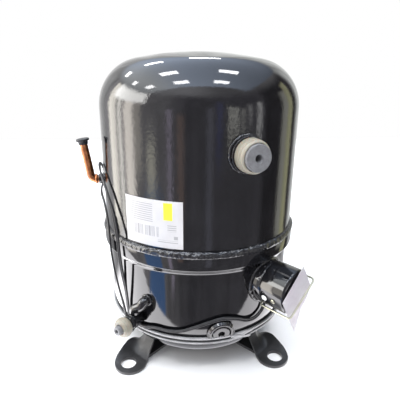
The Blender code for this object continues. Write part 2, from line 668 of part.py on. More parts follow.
def make_crankcase():
    """The cast body: crank chamber, two cylinders, foot flange, and posts that carry the motor."""
    case = disc("crankcase", 0.034, 0.0715, 0.1600, "cast_iron", ROUND_SIDES)
    block = box("crankcase_block", (0.018, -0.027, 0.0720), (HEAD_FACE_X, 0.027, 0.1580))
    flange = disc("crankcase_flange", 0.082, 0.0662, 0.0722, sides=ROUND_SIDES)
    top = disc("crankcase_top", 0.0835, 0.1590, 0.1652, sides=ROUND_SIDES)
    neck = disc("crankcase_neck", 0.024, 0.1600, 0.1880)
    join(case, block, flange, top, neck)
    for number in range(4):
        angle = radians(45 + 90 * number)
        post = disc("motor_post_%d" % number, 0.0050, 0.1640, STATOR_HEIGHTS[0] - GAP, sides=12)
        post.location = (POST_CIRCLE_R * cos(angle), POST_CIRCLE_R * sin(angle), 0)
        join(case, post)
    chamber = disc("crank_chamber", CHAMBER_R, 0.0600, 0.1555, sides=ROUND_SIDES)
    bearing_seat = disc("bearing_seat", 0.0168, 0.1500, 0.2000)
    cut(case, chamber, bearing_seat)
    for name, height in CYLINDER_HEIGHTS.items():
        bore = disc("cylinder_bore_" + name, CYLINDER_R, 0.010, 0.090, sides=ROUND_SIDES)
        cut(case, aim(bore, Vector((0, 0, height)), Vector((1, 0, 0))))
    ring("main_bearing", running_bore(JOURNAL_R), 0.0165, 0.1560, 0.1900, "steel")
    ring("lower_bearing", running_bore(LOWER_JOURNAL_R), CHAMBER_R - GAP, 0.0668, 0.0735, "cast_iron",
         ROUND_SIDES)


def make_crankshaft():
    shaft = disc("crankshaft", JOURNAL_R, 0.1500, 0.2900, "steel")
    pin_low = disc("crank_pin_lower", CRANK_PIN_R, 0.0850, 0.1030)
    pin_low.location.x = -THROW
    pin_high = disc("crank_pin_upper", CRANK_PIN_R, 0.1270, 0.1460)
    pin_high.location.x = THROW
    join(shaft,
         disc("web_upper", WEB_R, 0.1440, 0.1530), pin_high,
         disc("web_middle", WEB_R, 0.1010, 0.1290), pin_low,
         disc("web_lower", WEB_R, 0.0765, 0.0870),
         disc("lower_journal", LOWER_JOURNAL_R, 0.0600, 0.0780))
    turned("oil_pickup", [(0, 0.0597), (0.0085, 0.0597), (0.0080, 0.0450), (0.0035, 0.0200), (0, 0.0200)],
           "steel", 16)


def make_rotor():
    low, high = STATOR_HEIGHTS
    bore = JOURNAL_R + GAP
    ring("rotor_core", bore, ROTOR_R, low + 0.002, high - 0.002, "steel", ROUND_SIDES)
    ring("rotor_ring_top", 0.026, ROTOR_R - 0.001, high - 0.002 + GAP, high + 0.009, "aluminium", ROUND_SIDES)
    ring("rotor_ring_bottom", 0.026, ROTOR_R - 0.001, low - 0.009, low + 0.002 - GAP, "aluminium",
         ROUND_SIDES)
    sweep = [radians(95 + 170 * i / 14) for i in range(15)]
    half_ring = [(0.039 * cos(a), 0.039 * sin(a)) for a in sweep]
    half_ring += [(0.027 * cos(a), 0.027 * sin(a)) for a in sweep[::-1]]
    weight = outline("counterweight", half_ring, 0.012, "cast_iron")
    weight.location.z += high + 0.0093


def make_piston_and_rod(name, side):
    """One cylinder's piston, rod and wrist pin. Side is +1 where the crankpin points at the head."""
    height = CYLINDER_HEIGHTS[name]
    pin_x = side * THROW
    wrist_x = pin_x + ROD_LENGTH
    crown_x = HEAD_FACE_X - 0.0012 - (1 - side) * THROW
    piston = turned("piston_" + name, [
        (0, crown_x), (PISTON_R, crown_x), (PISTON_R, crown_x - PISTON_LENGTH),
        (PISTON_BORE_R, crown_x - PISTON_LENGTH), (PISTON_BORE_R, crown_x - 0.0028),
        (0, crown_x - 0.0028)], "aluminium", ROUND_SIDES)
    aim(piston, Vector((0, 0, height)), Vector((1, 0, 0)))
    rod = ring("connecting_rod_" + name, running_bore(CRANK_PIN_R), 0.0125, height - 0.0055, height + 0.0055,
               "cast_iron")
    rod.location.x = pin_x
    shank = box("rod_shank_" + name, (pin_x + 0.0110, -0.0038, height - 0.0035),
                (wrist_x - 0.0045, 0.0038, height + 0.0035))
    eye = disc("rod_eye_" + name, 0.0062, height - 0.0050, height + 0.0050)
    eye.location.x = wrist_x
    eye_bore = disc("rod_eye_bore_" + name, 0.0038, height - 0.02, height + 0.02, sides=16)
    eye_bore.location.x = wrist_x
    cut(join(rod, shank, eye), eye_bore)
    pin = disc("wrist_pin_" + name, 0.0036, height - 0.0095, height + 0.0095, "steel", 16)
    pin.location.x = wrist_x


def make_head():
    """The valve plate with its ports, and the cylinder head over it."""
    plate = box("valve_plate", (HEAD_FACE_X + GAP, -0.027, 0.0726), (HEAD_FACE_X + 0.0040, 0.027, 0.1580),
                "steel")
    head = box("cylinder_head", (HEAD_FACE_X + 0.0043, -0.027, 0.0726), (HEAD_FACE_X + 0.0200, 0.027, 0.1580),
               "cast_iron")
    for name, height in CYLINDER_HEIGHTS.items():
        for side in (-1, 1):
            port = disc("port_%s_%d" % (name, side), 0.0042, HEAD_FACE_X - 0.01, HEAD_FACE_X + 0.01, sides=12)
            aim(port, Vector((0, side * 0.0085, height)), Vector((1, 0, 0)))
            cut(plate, port)
    for side in (-1, 1):
        low_y, high_y = sorted((side * 0.0030, side * 0.0220))
        plenum = box("plenum_%d" % side, (HEAD_FACE_X, low_y, 0.0780), (HEAD_FACE_X + 0.0160, high_y, 0.1520))
        cut(head, plenum)


def make_motor():
    low, high = STATOR_HEIGHTS
    ring("stator_core", STATOR_BORE_R, STATOR_R, low, high, "steel", ROUND_SIDES)
    soft = [(0.0700, 0.018), (0.0720, 0.010), (0.0720, GAP), (0.0460, GAP), (0.0460, 0.016), (0.0520, 0.022),
            (0.0640, 0.022)]
    turned("winding_top", [(r, high + z) for r, z in soft], "winding", ROUND_SIDES)
    turned("winding_bottom", [(r, low - z) for r, z in soft[::-1]], "winding", ROUND_SIDES)


def make_discharge_path():
    """The muffler on the crankcase and the loop of tube that joins it to the shell."""
    muffler = turned("discharge_muffler", [
        (0, 0.1500), (0.0150, 0.1500), (0.0190, 0.1460), (0.0190, 0.0790), (0.0150, 0.0750), (0, 0.0750)],
        "steel")
    muffler.location.x = -0.057
    end = at(DISCHARGE_EXIT_BEARING, 0.1112, DISCHARGE_EXIT_Z)
    inward = at(DISCHARGE_EXIT_BEARING, 0.1050, DISCHARGE_EXIT_Z)
    route = [Vector((-0.0570, -0.0195, 0.1200)), Vector((-0.0570, -0.0300, 0.1205)),
             Vector((-0.0640, -0.0440, 0.1240)), Vector((-0.0800, -0.0500, 0.1230)),
             Vector((-0.0860, -0.0600, 0.1130)), Vector((-0.0760, -0.0740, 0.1020)), inward, end]
    wire("discharge_loop", smooth_route(route, 0.006), 0.0034, "copper", 2)


def make_suspension():
    """A ring plate on the shell's floor, and the springs that carry the crankcase."""
    ring("suspension_ring", 0.0560, 0.1000, 0.0300, SPRING_HEIGHTS[0] - GAP, "steel", ROUND_SIDES)
    low, high = SPRING_HEIGHTS
    steps = 8
    for number, bearing in enumerate(SPRING_BEARINGS, 1):
        centre = at(bearing, SPRING_CIRCLE_R, 0)
        rise = high - low - 2 * SPRING_WIRE_R
        count = SPRING_TURNS * steps
        coil = [centre + Vector((SPRING_R * cos(2 * pi * i / steps), SPRING_R * sin(2 * pi * i / steps),
                                 low + SPRING_WIRE_R + rise * i / count)) for i in range(count + 1)]
        wire("suspension_spring_%d" % number, coil, SPRING_WIRE_R, "steel", 1)


start_scene()
upper_shell, lower_shell = make_shell()
outer_form = shell_envelope("shell_envelope")
make_feet(outer_form)
make_suction(upper_shell)
make_discharge(lower_shell)
make_oil_fitting(lower_shell)
make_process_tube(upper_shell)
make_terminal_box(lower_shell, outer_form)
make_heater()
make_label()
make_crankcase()
make_crankshaft()
make_rotor()
make_piston_and_rod("lower", -1)
make_piston_and_rod("upper", 1)
make_head()
make_motor()
make_discharge_path()
make_suspension()
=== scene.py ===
"""Looks for the hermetic reciprocating compressor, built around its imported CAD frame.

Metres, +Z up. A bearing is an angle about Z, from the front (-Y) towards +X.
"""

import json
from math import asin, atan2, cos, hypot, pi, radians, sin, sqrt

import bmesh
import bpy
from mathutils import Matrix, Vector, noise


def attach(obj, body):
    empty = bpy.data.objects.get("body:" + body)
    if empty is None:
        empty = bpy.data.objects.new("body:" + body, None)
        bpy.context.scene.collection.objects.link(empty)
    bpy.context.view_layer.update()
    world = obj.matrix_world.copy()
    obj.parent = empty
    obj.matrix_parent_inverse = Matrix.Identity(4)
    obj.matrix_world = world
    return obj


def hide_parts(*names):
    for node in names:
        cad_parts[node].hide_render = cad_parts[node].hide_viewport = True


# crumpled() draws on this. Unseeded, it gives other lumps on every run
noise.seed_set(1)

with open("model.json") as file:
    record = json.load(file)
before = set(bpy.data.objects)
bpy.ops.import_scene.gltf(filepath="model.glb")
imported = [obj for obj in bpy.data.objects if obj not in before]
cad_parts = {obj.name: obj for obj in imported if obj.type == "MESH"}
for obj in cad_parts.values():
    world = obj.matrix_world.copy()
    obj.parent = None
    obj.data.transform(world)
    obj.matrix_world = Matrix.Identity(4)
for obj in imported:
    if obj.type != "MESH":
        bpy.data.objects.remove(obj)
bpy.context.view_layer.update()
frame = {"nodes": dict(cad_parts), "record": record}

# Sizes that the CAD part drives, repeated here by name
GAP = 0.0003
WALL = 0.0032
SHELL_R = 0.124
HEIGHT = 0.382
DOME_KNUCKLE_R = 0.058
DOME_CROWN_R = 0.390
COLLAR_TOP_Z = 0.167
COLLAR_LOW_Z = 0.1495
COLLAR_R = SHELL_R + GAP + WALL
LOWER_R = 0.1205
FLOOR_KNUCKLE_R = 0.065
FLOOR_KNUCKLE_Z = 0.0716
FLOOR_CROWN_R = 0.720
HOLE_CENTRE = 0.1905 / sqrt(2)
HOLE_R = 0.0097
PLATE = 0.004
EAR_R = 0.0204
EAR_CENTRE = 0.1311
SUCTION = (19.4, 0.279)
DISCHARGE = (-40.0, 0.072)
DISCHARGE_EXIT = (-35.0, 0.098)
OIL = (9.5, 0.062)
PROCESS = (-82.0, 0.228)
TERMINAL = (40.0, 0.118)
BOX_R = 0.027
BOX_FACE = 0.163
FENCE_FRONT = 0.1305
BAIL_TILT = 35.0
BAIL_PIVOT = 0.127
BAIL_OFFSET = 0.010
BAIL_REACH = 0.0417
BAIL_HALF_WIDTH = 0.0290
BAIL_WIRE_R = 0.0012
CARD_CORNERS = ((-0.030, 0.000), (0.008, 0.032), (0.031, -0.006), (0.001, -0.053))
CARD_BEND = 0.005
CARD_LIFT = 0.0018
CARD_HALF = 0.00018
BELT_LOW_Z = 0.0460
BELT_TOP_Z = 0.0578
LEAD_ROUTE = (
    (-53.0, 0.1228, 0.0612), (-54.5, 0.1235, 0.0760), (-57.0, 0.1260, 0.1000),
    (-58.5, 0.1292, 0.1300), (-59.0, 0.1310, 0.1580), (-61.0, 0.1300, 0.1850),
    (-68.0, 0.1285, 0.2050), (-80.0, 0.1285, 0.2120), (-91.0, 0.1285, 0.2170),
    (-96.0, 0.1285, 0.2300), (-91.0, 0.1285, 0.2420), (-82.0, 0.1285, 0.2460),
    (-72.0, 0.1285, 0.2400), (-62.0, 0.1285, 0.2240), (-55.0, 0.1290, 0.2020),
    (-51.0, 0.1305, 0.1800), (-49.5, 0.1312, 0.1570), (-49.0, 0.1295, 0.1300),
    (-49.0, 0.1255, 0.1020), (-49.5, 0.1232, 0.0800), (-48.5, 0.1229, 0.0660),
    (-42.0, 0.1228, 0.0603), (-36.0, 0.1228, 0.0607), (-29.0, 0.1228, 0.0650),
    (-20.0, 0.1228, 0.0652), (-13.0, 0.1230, 0.0675), (-6.0, 0.1232, 0.0735),
    (2.0, 0.1232, 0.0800), (10.0, 0.1235, 0.0838), (18.0, 0.1235, 0.0800),
    (25.0, 0.1235, 0.0737), (31.0, 0.1235, 0.0735), (36.0, 0.1236, 0.0800), (38.0, 0.1237, 0.0898))
STRAND_R = 0.0012
LABEL_BEARINGS = (-45.0, -11.5)
LABEL_HEIGHTS = (0.1745, 0.2290)
LABEL_SHEET = 0.0004

SHELL_SIDES = 256
ROUND_SIDES = 96


# ---- materials

class Graph:
    """A node tree under construction. Its textures are laid in one set of coordinates."""

    def __init__(self, tree, coordinates):
        self.nodes = tree.nodes
        self.links = tree.links
        self.place = self.nodes.new("ShaderNodeTexCoord").outputs[coordinates]

    def feed(self, socket, value):
        if isinstance(value, bpy.types.NodeSocket):
            self.links.new(value, socket)
        elif isinstance(value, tuple):
            socket.default_value = (*value, 1.0)
        else:
            socket.default_value = value

    def noise(self, scale, detail=3.0, roughness=0.5, distortion=0.0, stretch=(1, 1, 1)):
        mapping = self.nodes.new("ShaderNodeMapping")
        self.links.new(self.place, mapping.inputs["Vector"])
        mapping.inputs["Scale"].default_value = stretch
        node = self.nodes.new("ShaderNodeTexNoise")
        self.links.new(mapping.outputs["Vector"], node.inputs["Vector"])
        node.inputs["Scale"].default_value = scale
        node.inputs["Detail"].default_value = detail
        node.inputs["Roughness"].default_value = roughness
        node.inputs["Distortion"].default_value = distortion
        return node.outputs["Fac"]

    def ramp(self, source, *stops):
        node = self.nodes.new("ShaderNodeValToRGB")
        self.links.new(source, node.inputs["Fac"])
        elements = node.color_ramp.elements
        while len(elements) < len(stops):
            elements.new(0.5)
        for element, (position, colour) in zip(elements, stops):
            element.position = position
            grey = colour if isinstance(colour, tuple) else (colour,) * 3
            element.color = (*grey, 1.0)
        return node.outputs["Color"]

    def math(self, operation, *values):
        node = self.nodes.new("ShaderNodeMath")
        node.operation = operation
        for socket, value in zip(node.inputs, values):
            self.feed(socket, value)
        return node.outputs["Value"]

    def times(self, *values):
        product = values[0]
        for value in values[1:]:
            product = self.math("MULTIPLY", product, value)
        return product

    def either(self, factor, first, second):
        """The first shader where the factor is 0, and the second where it is 1."""
        node = self.nodes.new("ShaderNodeMixShader")
        for socket, source in zip(node.inputs, (factor, first, second)):
            self.links.new(source, socket)
        return node.outputs["Shader"]

    def mix(self, factor, first, second, blend="MIX"):
        node = self.nodes.new("ShaderNodeMix")
        node.data_type = "RGBA"
        node.blend_type = blend
        self.feed(node.inputs["Factor"], factor)
        self.feed(node.inputs[6], first)
        self.feed(node.inputs[7], second)
        return node.outputs[2]

    def band(self, value, low, high):
        """1 between low and high, and 0 outside."""
        return self.times(self.math("GREATER_THAN", value, low), self.math("LESS_THAN", value, high))

    def step(self, value, start, end):
        """A smooth rise from 0 at start to 1 at end, which can be lower than start."""
        node = self.nodes.new("ShaderNodeMapRange")
        node.interpolation_type = "SMOOTHSTEP"
        self.links.new(value, node.inputs["Value"])
        node.inputs["From Min"].default_value = min(start, end)
        node.inputs["From Max"].default_value = max(start, end)
        node.inputs["To Min"].default_value = 0.0 if start < end else 1.0
        node.inputs["To Max"].default_value = 1.0 if start < end else 0.0
        return node.outputs["Result"]

    def axes(self):
        split = self.nodes.new("ShaderNodeSeparateXYZ")
        self.links.new(self.place, split.inputs["Vector"])
        return split.outputs["X"], split.outputs["Y"], split.outputs["Z"]

    def around(self):
        """The bearing in degrees and the height in metres."""
        x, y, z = self.axes()
        return self.times(self.math("ARCTAN2", x, self.times(y, -1.0)), 180 / pi), z


class Finish(Graph):
    """A node material under construction: a Principled shader in the object's own coordinates."""

    def __init__(self, name, roughness, metallic=0.0, **sockets):
        self.material = bpy.data.materials.new(name)
        self.material.use_nodes = True
        super().__init__(self.material.node_tree, "Object")
        self.shader = self.nodes["Principled BSDF"]
        self.shader.inputs["Roughness"].default_value = roughness
        self.shader.inputs["Metallic"].default_value = metallic
        for socket, value in sockets.items():
            self.shader.inputs[socket.replace("_", " ")].default_value = value

    def colour(self, value):
        self.feed(self.shader.inputs["Base Color"], value)

    def roughness(self, value):
        self.feed(self.shader.inputs["Roughness"], value)

    def bump(self, *layers):
        """Layers of (height, distance in metres, strength if it varies), one on another."""
        normal = None
        for height, distance, *strength in layers:
            node = self.nodes.new("ShaderNodeBump")
            node.inputs["Distance"].default_value = distance
            for value in strength:
                self.links.new(value, node.inputs["Strength"])
            self.links.new(height, node.inputs["Height"])
            if normal:
                self.links.new(normal, node.inputs["Normal"])
            normal = node.outputs["Normal"]
        self.links.new(normal, self.shader.inputs["Normal"])


def black_enamel(name="black_enamel", peeled=True):
    """Gloss black paint, with orange peel over the upper shell's drawn wall."""
    f = Finish(name, 0.06)
    f.colour(f.ramp(f.noise(45.0), (0.35, (0.0050, 0.0050, 0.0060)), (0.7, (0.0085, 0.0085, 0.0100))))
    f.roughness(f.ramp(f.noise(24.0, 5.0), (0.35, 0.030), (0.75, 0.075)))
    layers = [(f.noise(60.0, 2.0), 0.00010), (f.noise(900.0, 2.0), 0.000012)]
    if peeled:
        _, _, height = f.axes()
        wall = f.times(f.step(height, 0.352, 0.336), f.step(height, 0.164, 0.176))
        layers += [(f.noise(330.0, 2.0), 0.00010, wall), (f.noise(1100.0, 2.0), 0.00004, wall)]
    f.bump(*layers)
    return f.material


def mottled(name, roughness, shades, sheen, *relief, metallic=0.0, **sockets):
    """A varied finish: (noise, stops...) for its colour and its roughness, (noise, depth) for its bumps."""
    f = Finish(name, roughness, metallic, **sockets)
    for give, (grain, *stops) in ((f.colour, shades), (f.roughness, sheen)):
        give(f.ramp(f.noise(*grain), *stops))
    f.bump(*[(f.noise(*grain), depth) for grain, depth in relief])
    return f.material


def metal(name, dark, light, rough_low, rough_high, grain=(1, 1, 1), scale=300.0, depth=0.00004):
    f = Finish(name, rough_low, 1.0)
    f.colour(f.ramp(f.noise(scale / 3, 5.0, stretch=grain), (0.3, dark), (0.7, light)))
    f.roughness(f.ramp(f.noise(scale, 4.0, stretch=grain), (0.3, rough_low), (0.7, rough_high)))
    f.bump((f.noise(scale * 3, 3.0, stretch=grain), depth))
    return f.material


def winding():
    """Varnished copper turns, packed side by side round the ring."""
    f = Finish("winding", 0.35, 0.7)
    bearing, _ = f.around()
    turns = f.math("SINE", f.times(bearing, 4.0))
    f.colour(f.ramp(f.noise(160.0, 4.0), (0.3, (0.32, 0.12, 0.05)), (0.7, (0.62, 0.28, 0.12))))
    f.bump((turns, 0.0004), (f.noise(500.0), 0.0002))
    return f.material


def card_paper():
    """A coated card, faintly mottled."""
    f = Finish("card_paper", 0.5)
    mottle = f.ramp(f.noise(55.0, 4.0), (0.35, (0.42, 0.38, 0.42)), (0.7, (0.47, 0.45, 0.475)))
    fibre = f.ramp(f.noise(900.0, 2.0, stretch=(1, 1, 0.3)), (0.35, 0.90), (0.65, 1.0))
    f.colour(f.mix(0.5, mottle, fibre, "MULTIPLY"))
    f.roughness(f.ramp(f.noise(200.0), (0.3, 0.4), (0.7, 0.6)))
    f.bump((f.noise(1200.0, 2.0), 0.00002))
    return f.material


def label_paper():
    """A printed label with plain blocks, bars and a yellow stripe in place of any wording."""
    f = Finish("label_paper", 0.35)
    bearing, height = f.around()
    left, right = LABEL_BEARINGS
    low, high = LABEL_HEIGHTS
    across = f.math("DIVIDE", f.math("SUBTRACT", bearing, left), right - left)
    up = f.math("DIVIDE", f.math("SUBTRACT", height, low), high - low)
    paper = f.ramp(f.noise(60.0), (0.3, (0.56, 0.55, 0.56)), (0.7, (0.62, 0.61, 0.62)))

    def union(*values):
        total = values[0]
        for value in values[1:]:
            total = f.math("MAXIMUM", total, value)
        return total

    def block(x0, x1, y0, y1):
        return f.times(f.band(across, x0, x1), f.band(up, y0, y1))

    def striped(value, count, share):
        return f.math("GREATER_THAN", f.math("FRACT", f.times(value, count)), share)

    uneven = f.math("ADD", across, f.times(f.math("SINE", f.times(across, 61.0)), 0.012))
    barcode = f.times(striped(uneven, 34.0, 0.5), block(0.17, 0.62, 0.22, 0.44))
    wording = union(block(0.10, 0.52, 0.50, 0.94), block(0.76, 0.90, 0.36, 0.52),
                    block(0.60, 0.92, 0.10, 0.17))
    rows = f.times(striped(up, 22.0, 0.62), wording)
    ink = union(barcode, rows, block(0.86, 0.92, 0.20, 0.27))
    printed = f.mix(f.times(ink, 0.55), paper, (0.16, 0.16, 0.17))
    stripe = block(0.70, 0.84, 0.60, 0.96)
    f.colour(f.mix(stripe, printed, (0.84, 0.83, 0.03)))
    f.bump((f.noise(500.0), 0.00001))
    return f.material


FINISHES = {
    "black_enamel": black_enamel(),
    "smooth_enamel": black_enamel("smooth_enamel", peeled=False),
    "lumpy_enamel": mottled(
        "lumpy_enamel", 0.12, ((200.0,), (0.3, (0.0060, 0.0060, 0.0070)), (0.7, (0.0160, 0.0160, 0.0180))),
        ((150.0, 4.0), (0.3, 0.05), (0.7, 0.16)), ((420.0, 3.0), 0.0006), ((1500.0, 2.0), 0.00005)),
    "foot_black": mottled(
        "foot_black", 0.4, ((70.0, 5.0), (0.3, (0.022, 0.022, 0.023)), (0.75, (0.042, 0.042, 0.044))),
        ((90.0, 4.0), (0.3, 0.32), (0.7, 0.50)), ((500.0, 3.0), 0.00008), ((90.0, 2.0), 0.0003),
        Specular_IOR_Level=0.22),
    "cream_plastic": mottled(
        "cream_plastic", 0.42, ((60.0, 4.0), (0.3, (0.23, 0.21, 0.165)), (0.7, (0.29, 0.268, 0.215))),
        ((300.0,), (0.3, 0.34), (0.7, 0.52)), ((700.0, 2.0), 0.00004),
        Subsurface_Weight=0.15, Subsurface_Scale=0.004),
    "grey_rubber": mottled(
        "grey_rubber", 0.6, ((180.0, 6.0, 0.65), (0.3, (0.12, 0.12, 0.125)), (0.7, (0.20, 0.20, 0.21))),
        ((400.0,), (0.3, 0.45), (0.7, 0.65)), ((1400.0, 3.0), 0.00008)),
    "black_rubber": mottled(
        "black_rubber", 0.5, ((220.0,), (0.3, (0.012, 0.012, 0.013)), (0.7, (0.030, 0.030, 0.032))),
        ((300.0,), (0.3, 0.30), (0.7, 0.55)), ((900.0, 2.0), 0.00005), Specular_IOR_Level=0.3),
    "white_plastic": mottled(
        "white_plastic", 0.3, ((300.0,), (0.3, (0.80, 0.80, 0.78)), (0.7, (0.92, 0.92, 0.90))),
        ((500.0,), (0.3, 0.22), (0.7, 0.4)), ((800.0,), 0.00003)),
    "zinc": metal("zinc", (0.27, 0.26, 0.20), (0.44, 0.43, 0.34), 0.30, 0.48, scale=400.0),
    "card_paper": card_paper(),
    "label_paper": label_paper(),
    "copper": mottled(
        "copper", 0.3, ((110.0, 5.0, 0.6), (0.35, (0.20, 0.075, 0.030)), (0.55, (0.46, 0.19, 0.085)),
                        (0.8, (0.66, 0.32, 0.17))),
        ((260.0, 4.0), (0.3, 0.24), (0.7, 0.45)), ((700.0, 3.0), 0.00005), metallic=1.0),
    "winding": winding(),
    "aluminium": metal("aluminium", (0.50, 0.50, 0.52), (0.78, 0.78, 0.80), 0.22, 0.40, (1, 1, 5)),
    "belt_grey": mottled(
        "belt_grey", 0.5, ((120.0, 4.0), (0.3, (0.24, 0.24, 0.245)), (0.7, (0.34, 0.34, 0.345))),
        ((300.0, 4.0), (0.3, 0.42), (0.7, 0.60)), ((900.0, 3.0), 0.00005), metallic=0.1),
    "steel": metal("steel", (0.36, 0.36, 0.37), (0.60, 0.60, 0.62), 0.25, 0.42, (1, 1, 4)),
    "cast_iron": metal("cast_iron", (0.13, 0.125, 0.12), (0.27, 0.26, 0.25), 0.5, 0.72, scale=450.0,
                       depth=0.0003),
}

# ---- geometry helpers

def outward(bearing):
    return Vector((sin(radians(bearing)), -cos(radians(bearing)), 0))


def sideways(bearing):
    """The level direction of growing bearing."""
    return Vector((cos(radians(bearing)), sin(radians(bearing)), 0))


def at(bearing, distance, height):
    return outward(bearing) * distance + Vector((0, 0, height))


def facing(point, direction):
    """A matrix that turns Z to the direction and stands at the point."""
    return Matrix.Translation(point) @ Vector(direction).to_track_quat("Z", "Y").to_matrix().to_4x4()


def radial(place):
    bearing, height = place
    return facing(Vector((0, 0, height)), outward(bearing))


def arc(centre_r, centre_z, radius, start, end, steps):
    angles = [radians(start + (end - start) * i / steps) for i in range(steps + 1)]
    return [(centre_r + radius * cos(a), centre_z + radius * sin(a)) for a in angles]


def rounded(points, radius, steps=4, closed=True):
    """The outline with its corners eased by this much."""
    made = []
    count = len(points)
    for i, corner in enumerate(points):
        here = Vector(corner)
        if not closed and i in (0, count - 1):
            made.append(tuple(here))
            continue
        before = Vector(points[i - 1]) - here
        after = Vector(points[(i + 1) % count]) - here
        reach = min(radius, before.length * 0.45, after.length * 0.45)
        start = here + before.normalized() * reach
        end = here + after.normalized() * reach
        for k in range(steps + 1):
            t = k / steps
            made.append(tuple(start * (1 - t) ** 2 + here * 2 * t * (1 - t) + end * t ** 2))
    return made


def turned(profile, sides=ROUND_SIDES):
    """A solid turned about Z from (radius, height) points that run down its outer side."""
    points = []
    rings = []
    for r, z in profile:
        if r < 1e-7:
            rings.append([len(points)] * sides)
            points.append(Vector((0, 0, z)))
        else:
            rings.append(range(len(points), len(points) + sides))
            points += [Vector((r * cos(2 * pi * i / sides), r * sin(2 * pi * i / sides), z))
                       for i in range(sides)]
    pairs = list(zip(rings, rings[1:]))
    if profile[0][0] > 0 or profile[-1][0] > 0:
        pairs.append((rings[-1], rings[0]))
    faces = []
    for upper, lower in pairs:
        for i in range(sides):
            j = (i + 1) % sides
            face = list(dict.fromkeys((upper[i], lower[i], lower[j], upper[j])))
            if len(face) > 2:
                faces.append(face)
    return points, faces


def peg(radius, low, high, sides=ROUND_SIDES):
    """A plain cylinder about Z."""
    return turned([(0, high), (radius, high), (radius, low), (0, low)], sides)


def prism(outline, low, high):
    """The outline in X and Y, drawn up from one height to another."""
    count = len(outline)
    points = [Vector((x, y, z)) for z in (low, high) for x, y in outline]
    faces = [tuple(range(count))[::-1], tuple(range(count, 2 * count))]
    faces += [(i, (i + 1) % count, (i + 1) % count + count, i + count) for i in range(count)]
    return points, faces


def on_axis(profile):
    """The profile, with the points that end it at the axis put on the axis."""
    return [(0.0, z) if r < 0.0005 else (r, z) for r, z in profile]


def sheet(columns, rows, place):
    """A closed sheet over a grid of points: place(column, row, side), with side 0 its face and 1 its back."""
    points = [place(i, j, side) for side in (0, 1) for i in range(columns) for j in range(rows)]
    behind = columns * rows
    faces = []
    for i in range(columns - 1):
        for j in range(rows - 1):
            a = i * rows + j
            quad = (a, a + rows, a + rows + 1, a + 1)
            faces += [quad, tuple(k + behind for k in quad)[::-1]]
    rim = [i * rows for i in range(columns)] + [(columns - 1) * rows + j for j in range(1, rows)]
    rim += [i * rows + rows - 1 for i in range(columns - 2, -1, -1)] + list(range(rows - 2, 0, -1))
    faces += [(a, b, b + behind, a + behind) for a, b in zip(rim, rim[1:] + rim[:1])]
    return points, faces


def swept(path, radius, sides=16, closed=False):
    """A round tube along the path. The radius is a number, or a function of the share of the length."""
    count = len(path)
    along = []
    for i in range(count):
        ahead = path[(i + 1) % count] if closed or i < count - 1 else path[i]
        behind = path[i - 1] if closed or i > 0 else path[i]
        along.append((ahead - behind).normalized())
    side = along[0].orthogonal().normalized()
    points = []
    for i, (centre, direction) in enumerate(zip(path, along)):
        side = (side - direction * side.dot(direction)).normalized()
        other = direction.cross(side)
        size = radius(i / (count - 1)) if callable(radius) else radius
        points += [centre + (side * cos(2 * pi * k / sides) + other * sin(2 * pi * k / sides)) * size
                   for k in range(sides)]
    faces = []
    for i in range(count if closed else count - 1):
        for k in range(sides):
            a, b = i * sides + k, i * sides + (k + 1) % sides
            shift = sides if i < count - 1 else -i * sides
            faces.append((a, b, b + shift, a + shift))
    if not closed:
        faces.append(tuple(range(sides))[::-1])
        faces.append(tuple(range((count - 1) * sides, count * sides)))
    return points, faces


def smooth_route(route, spacing):
    """Even points along a smooth curve through the route's points."""
    points = [route[0] * 2 - route[1], *route, route[-1] * 2 - route[-2]]
    fine = []
    for a, b, c, d in zip(points, points[1:], points[2:], points[3:]):
        for step in range(16):
            t = step / 16
            fine.append(0.5 * (2 * b + (c - a) * t + (2 * a - 5 * b + 4 * c - d) * t ** 2
                               + (3 * b - 3 * c + d - a) * t ** 3))
    fine.append(route[-1])
    length = sum((q - p).length for p, q in zip(fine, fine[1:]))
    count = max(2, round(length / spacing))
    even = [fine[0]]
    walked = 0.0
    for p, q in zip(fine, fine[1:]):
        step = (q - p).length
        while walked + step >= length * len(even) / count and len(even) < count:
            even.append(p.lerp(q, (length * len(even) / count - walked) / step))
        walked += step
    return [*even, fine[-1]]


def moved(geometry, matrix):
    points, faces = geometry
    return [matrix @ Vector(p) for p in points], faces


def merged(*geometries):
    points = []
    faces = []
    for more_points, more_faces in geometries:
        faces += [[i + len(points) for i in face] for face in more_faces]
        points += more_points
    return points, faces


def crumpled(geometry, amount, size, offset=(0, 0, 0)):
    """Every point pushed about by smooth noise."""
    points, faces = geometry
    shift = Vector(offset)
    return [p + noise.noise_vector((p + shift) / size) * amount for p in points], faces


def build(name, geometry, finish):
    points, faces = geometry
    mesh = bpy.data.meshes.new(name)
    mesh.from_pydata(points, [], faces)
    work = bmesh.new()
    work.from_mesh(mesh)
    bmesh.ops.recalc_face_normals(work, faces=work.faces)
    work.to_mesh(mesh)
    work.free()
    mesh.materials.append(FINISHES[finish])
    obj = bpy.data.objects.new(name, mesh)
    bpy.context.scene.collection.objects.link(obj)
    return obj


def settle(obj):
    """Apply the object's modifiers."""
    bpy.context.view_layer.update()
    mesh = bpy.data.meshes.new_from_object(obj.evaluated_get(bpy.context.evaluated_depsgraph_get()))
    obj.modifiers.clear()
    obj.data = mesh


def carve(obj, *cutters, operation="DIFFERENCE"):
    for cutter in cutters:
        tool = build("tool", cutter, "steel")
        step = obj.modifiers.new("carve", "BOOLEAN")
        step.operation = operation
        step.object = tool
        settle(obj)
        bpy.data.objects.remove(tool, do_unlink=True)


def soften(obj, width, segments=2, angle=40):
    bevel = obj.modifiers.new("edges", "BEVEL")
    bevel.width = width
    bevel.segments = segments
    bevel.limit_method = "ANGLE"
    bevel.angle_limit = radians(angle)
    settle(obj)


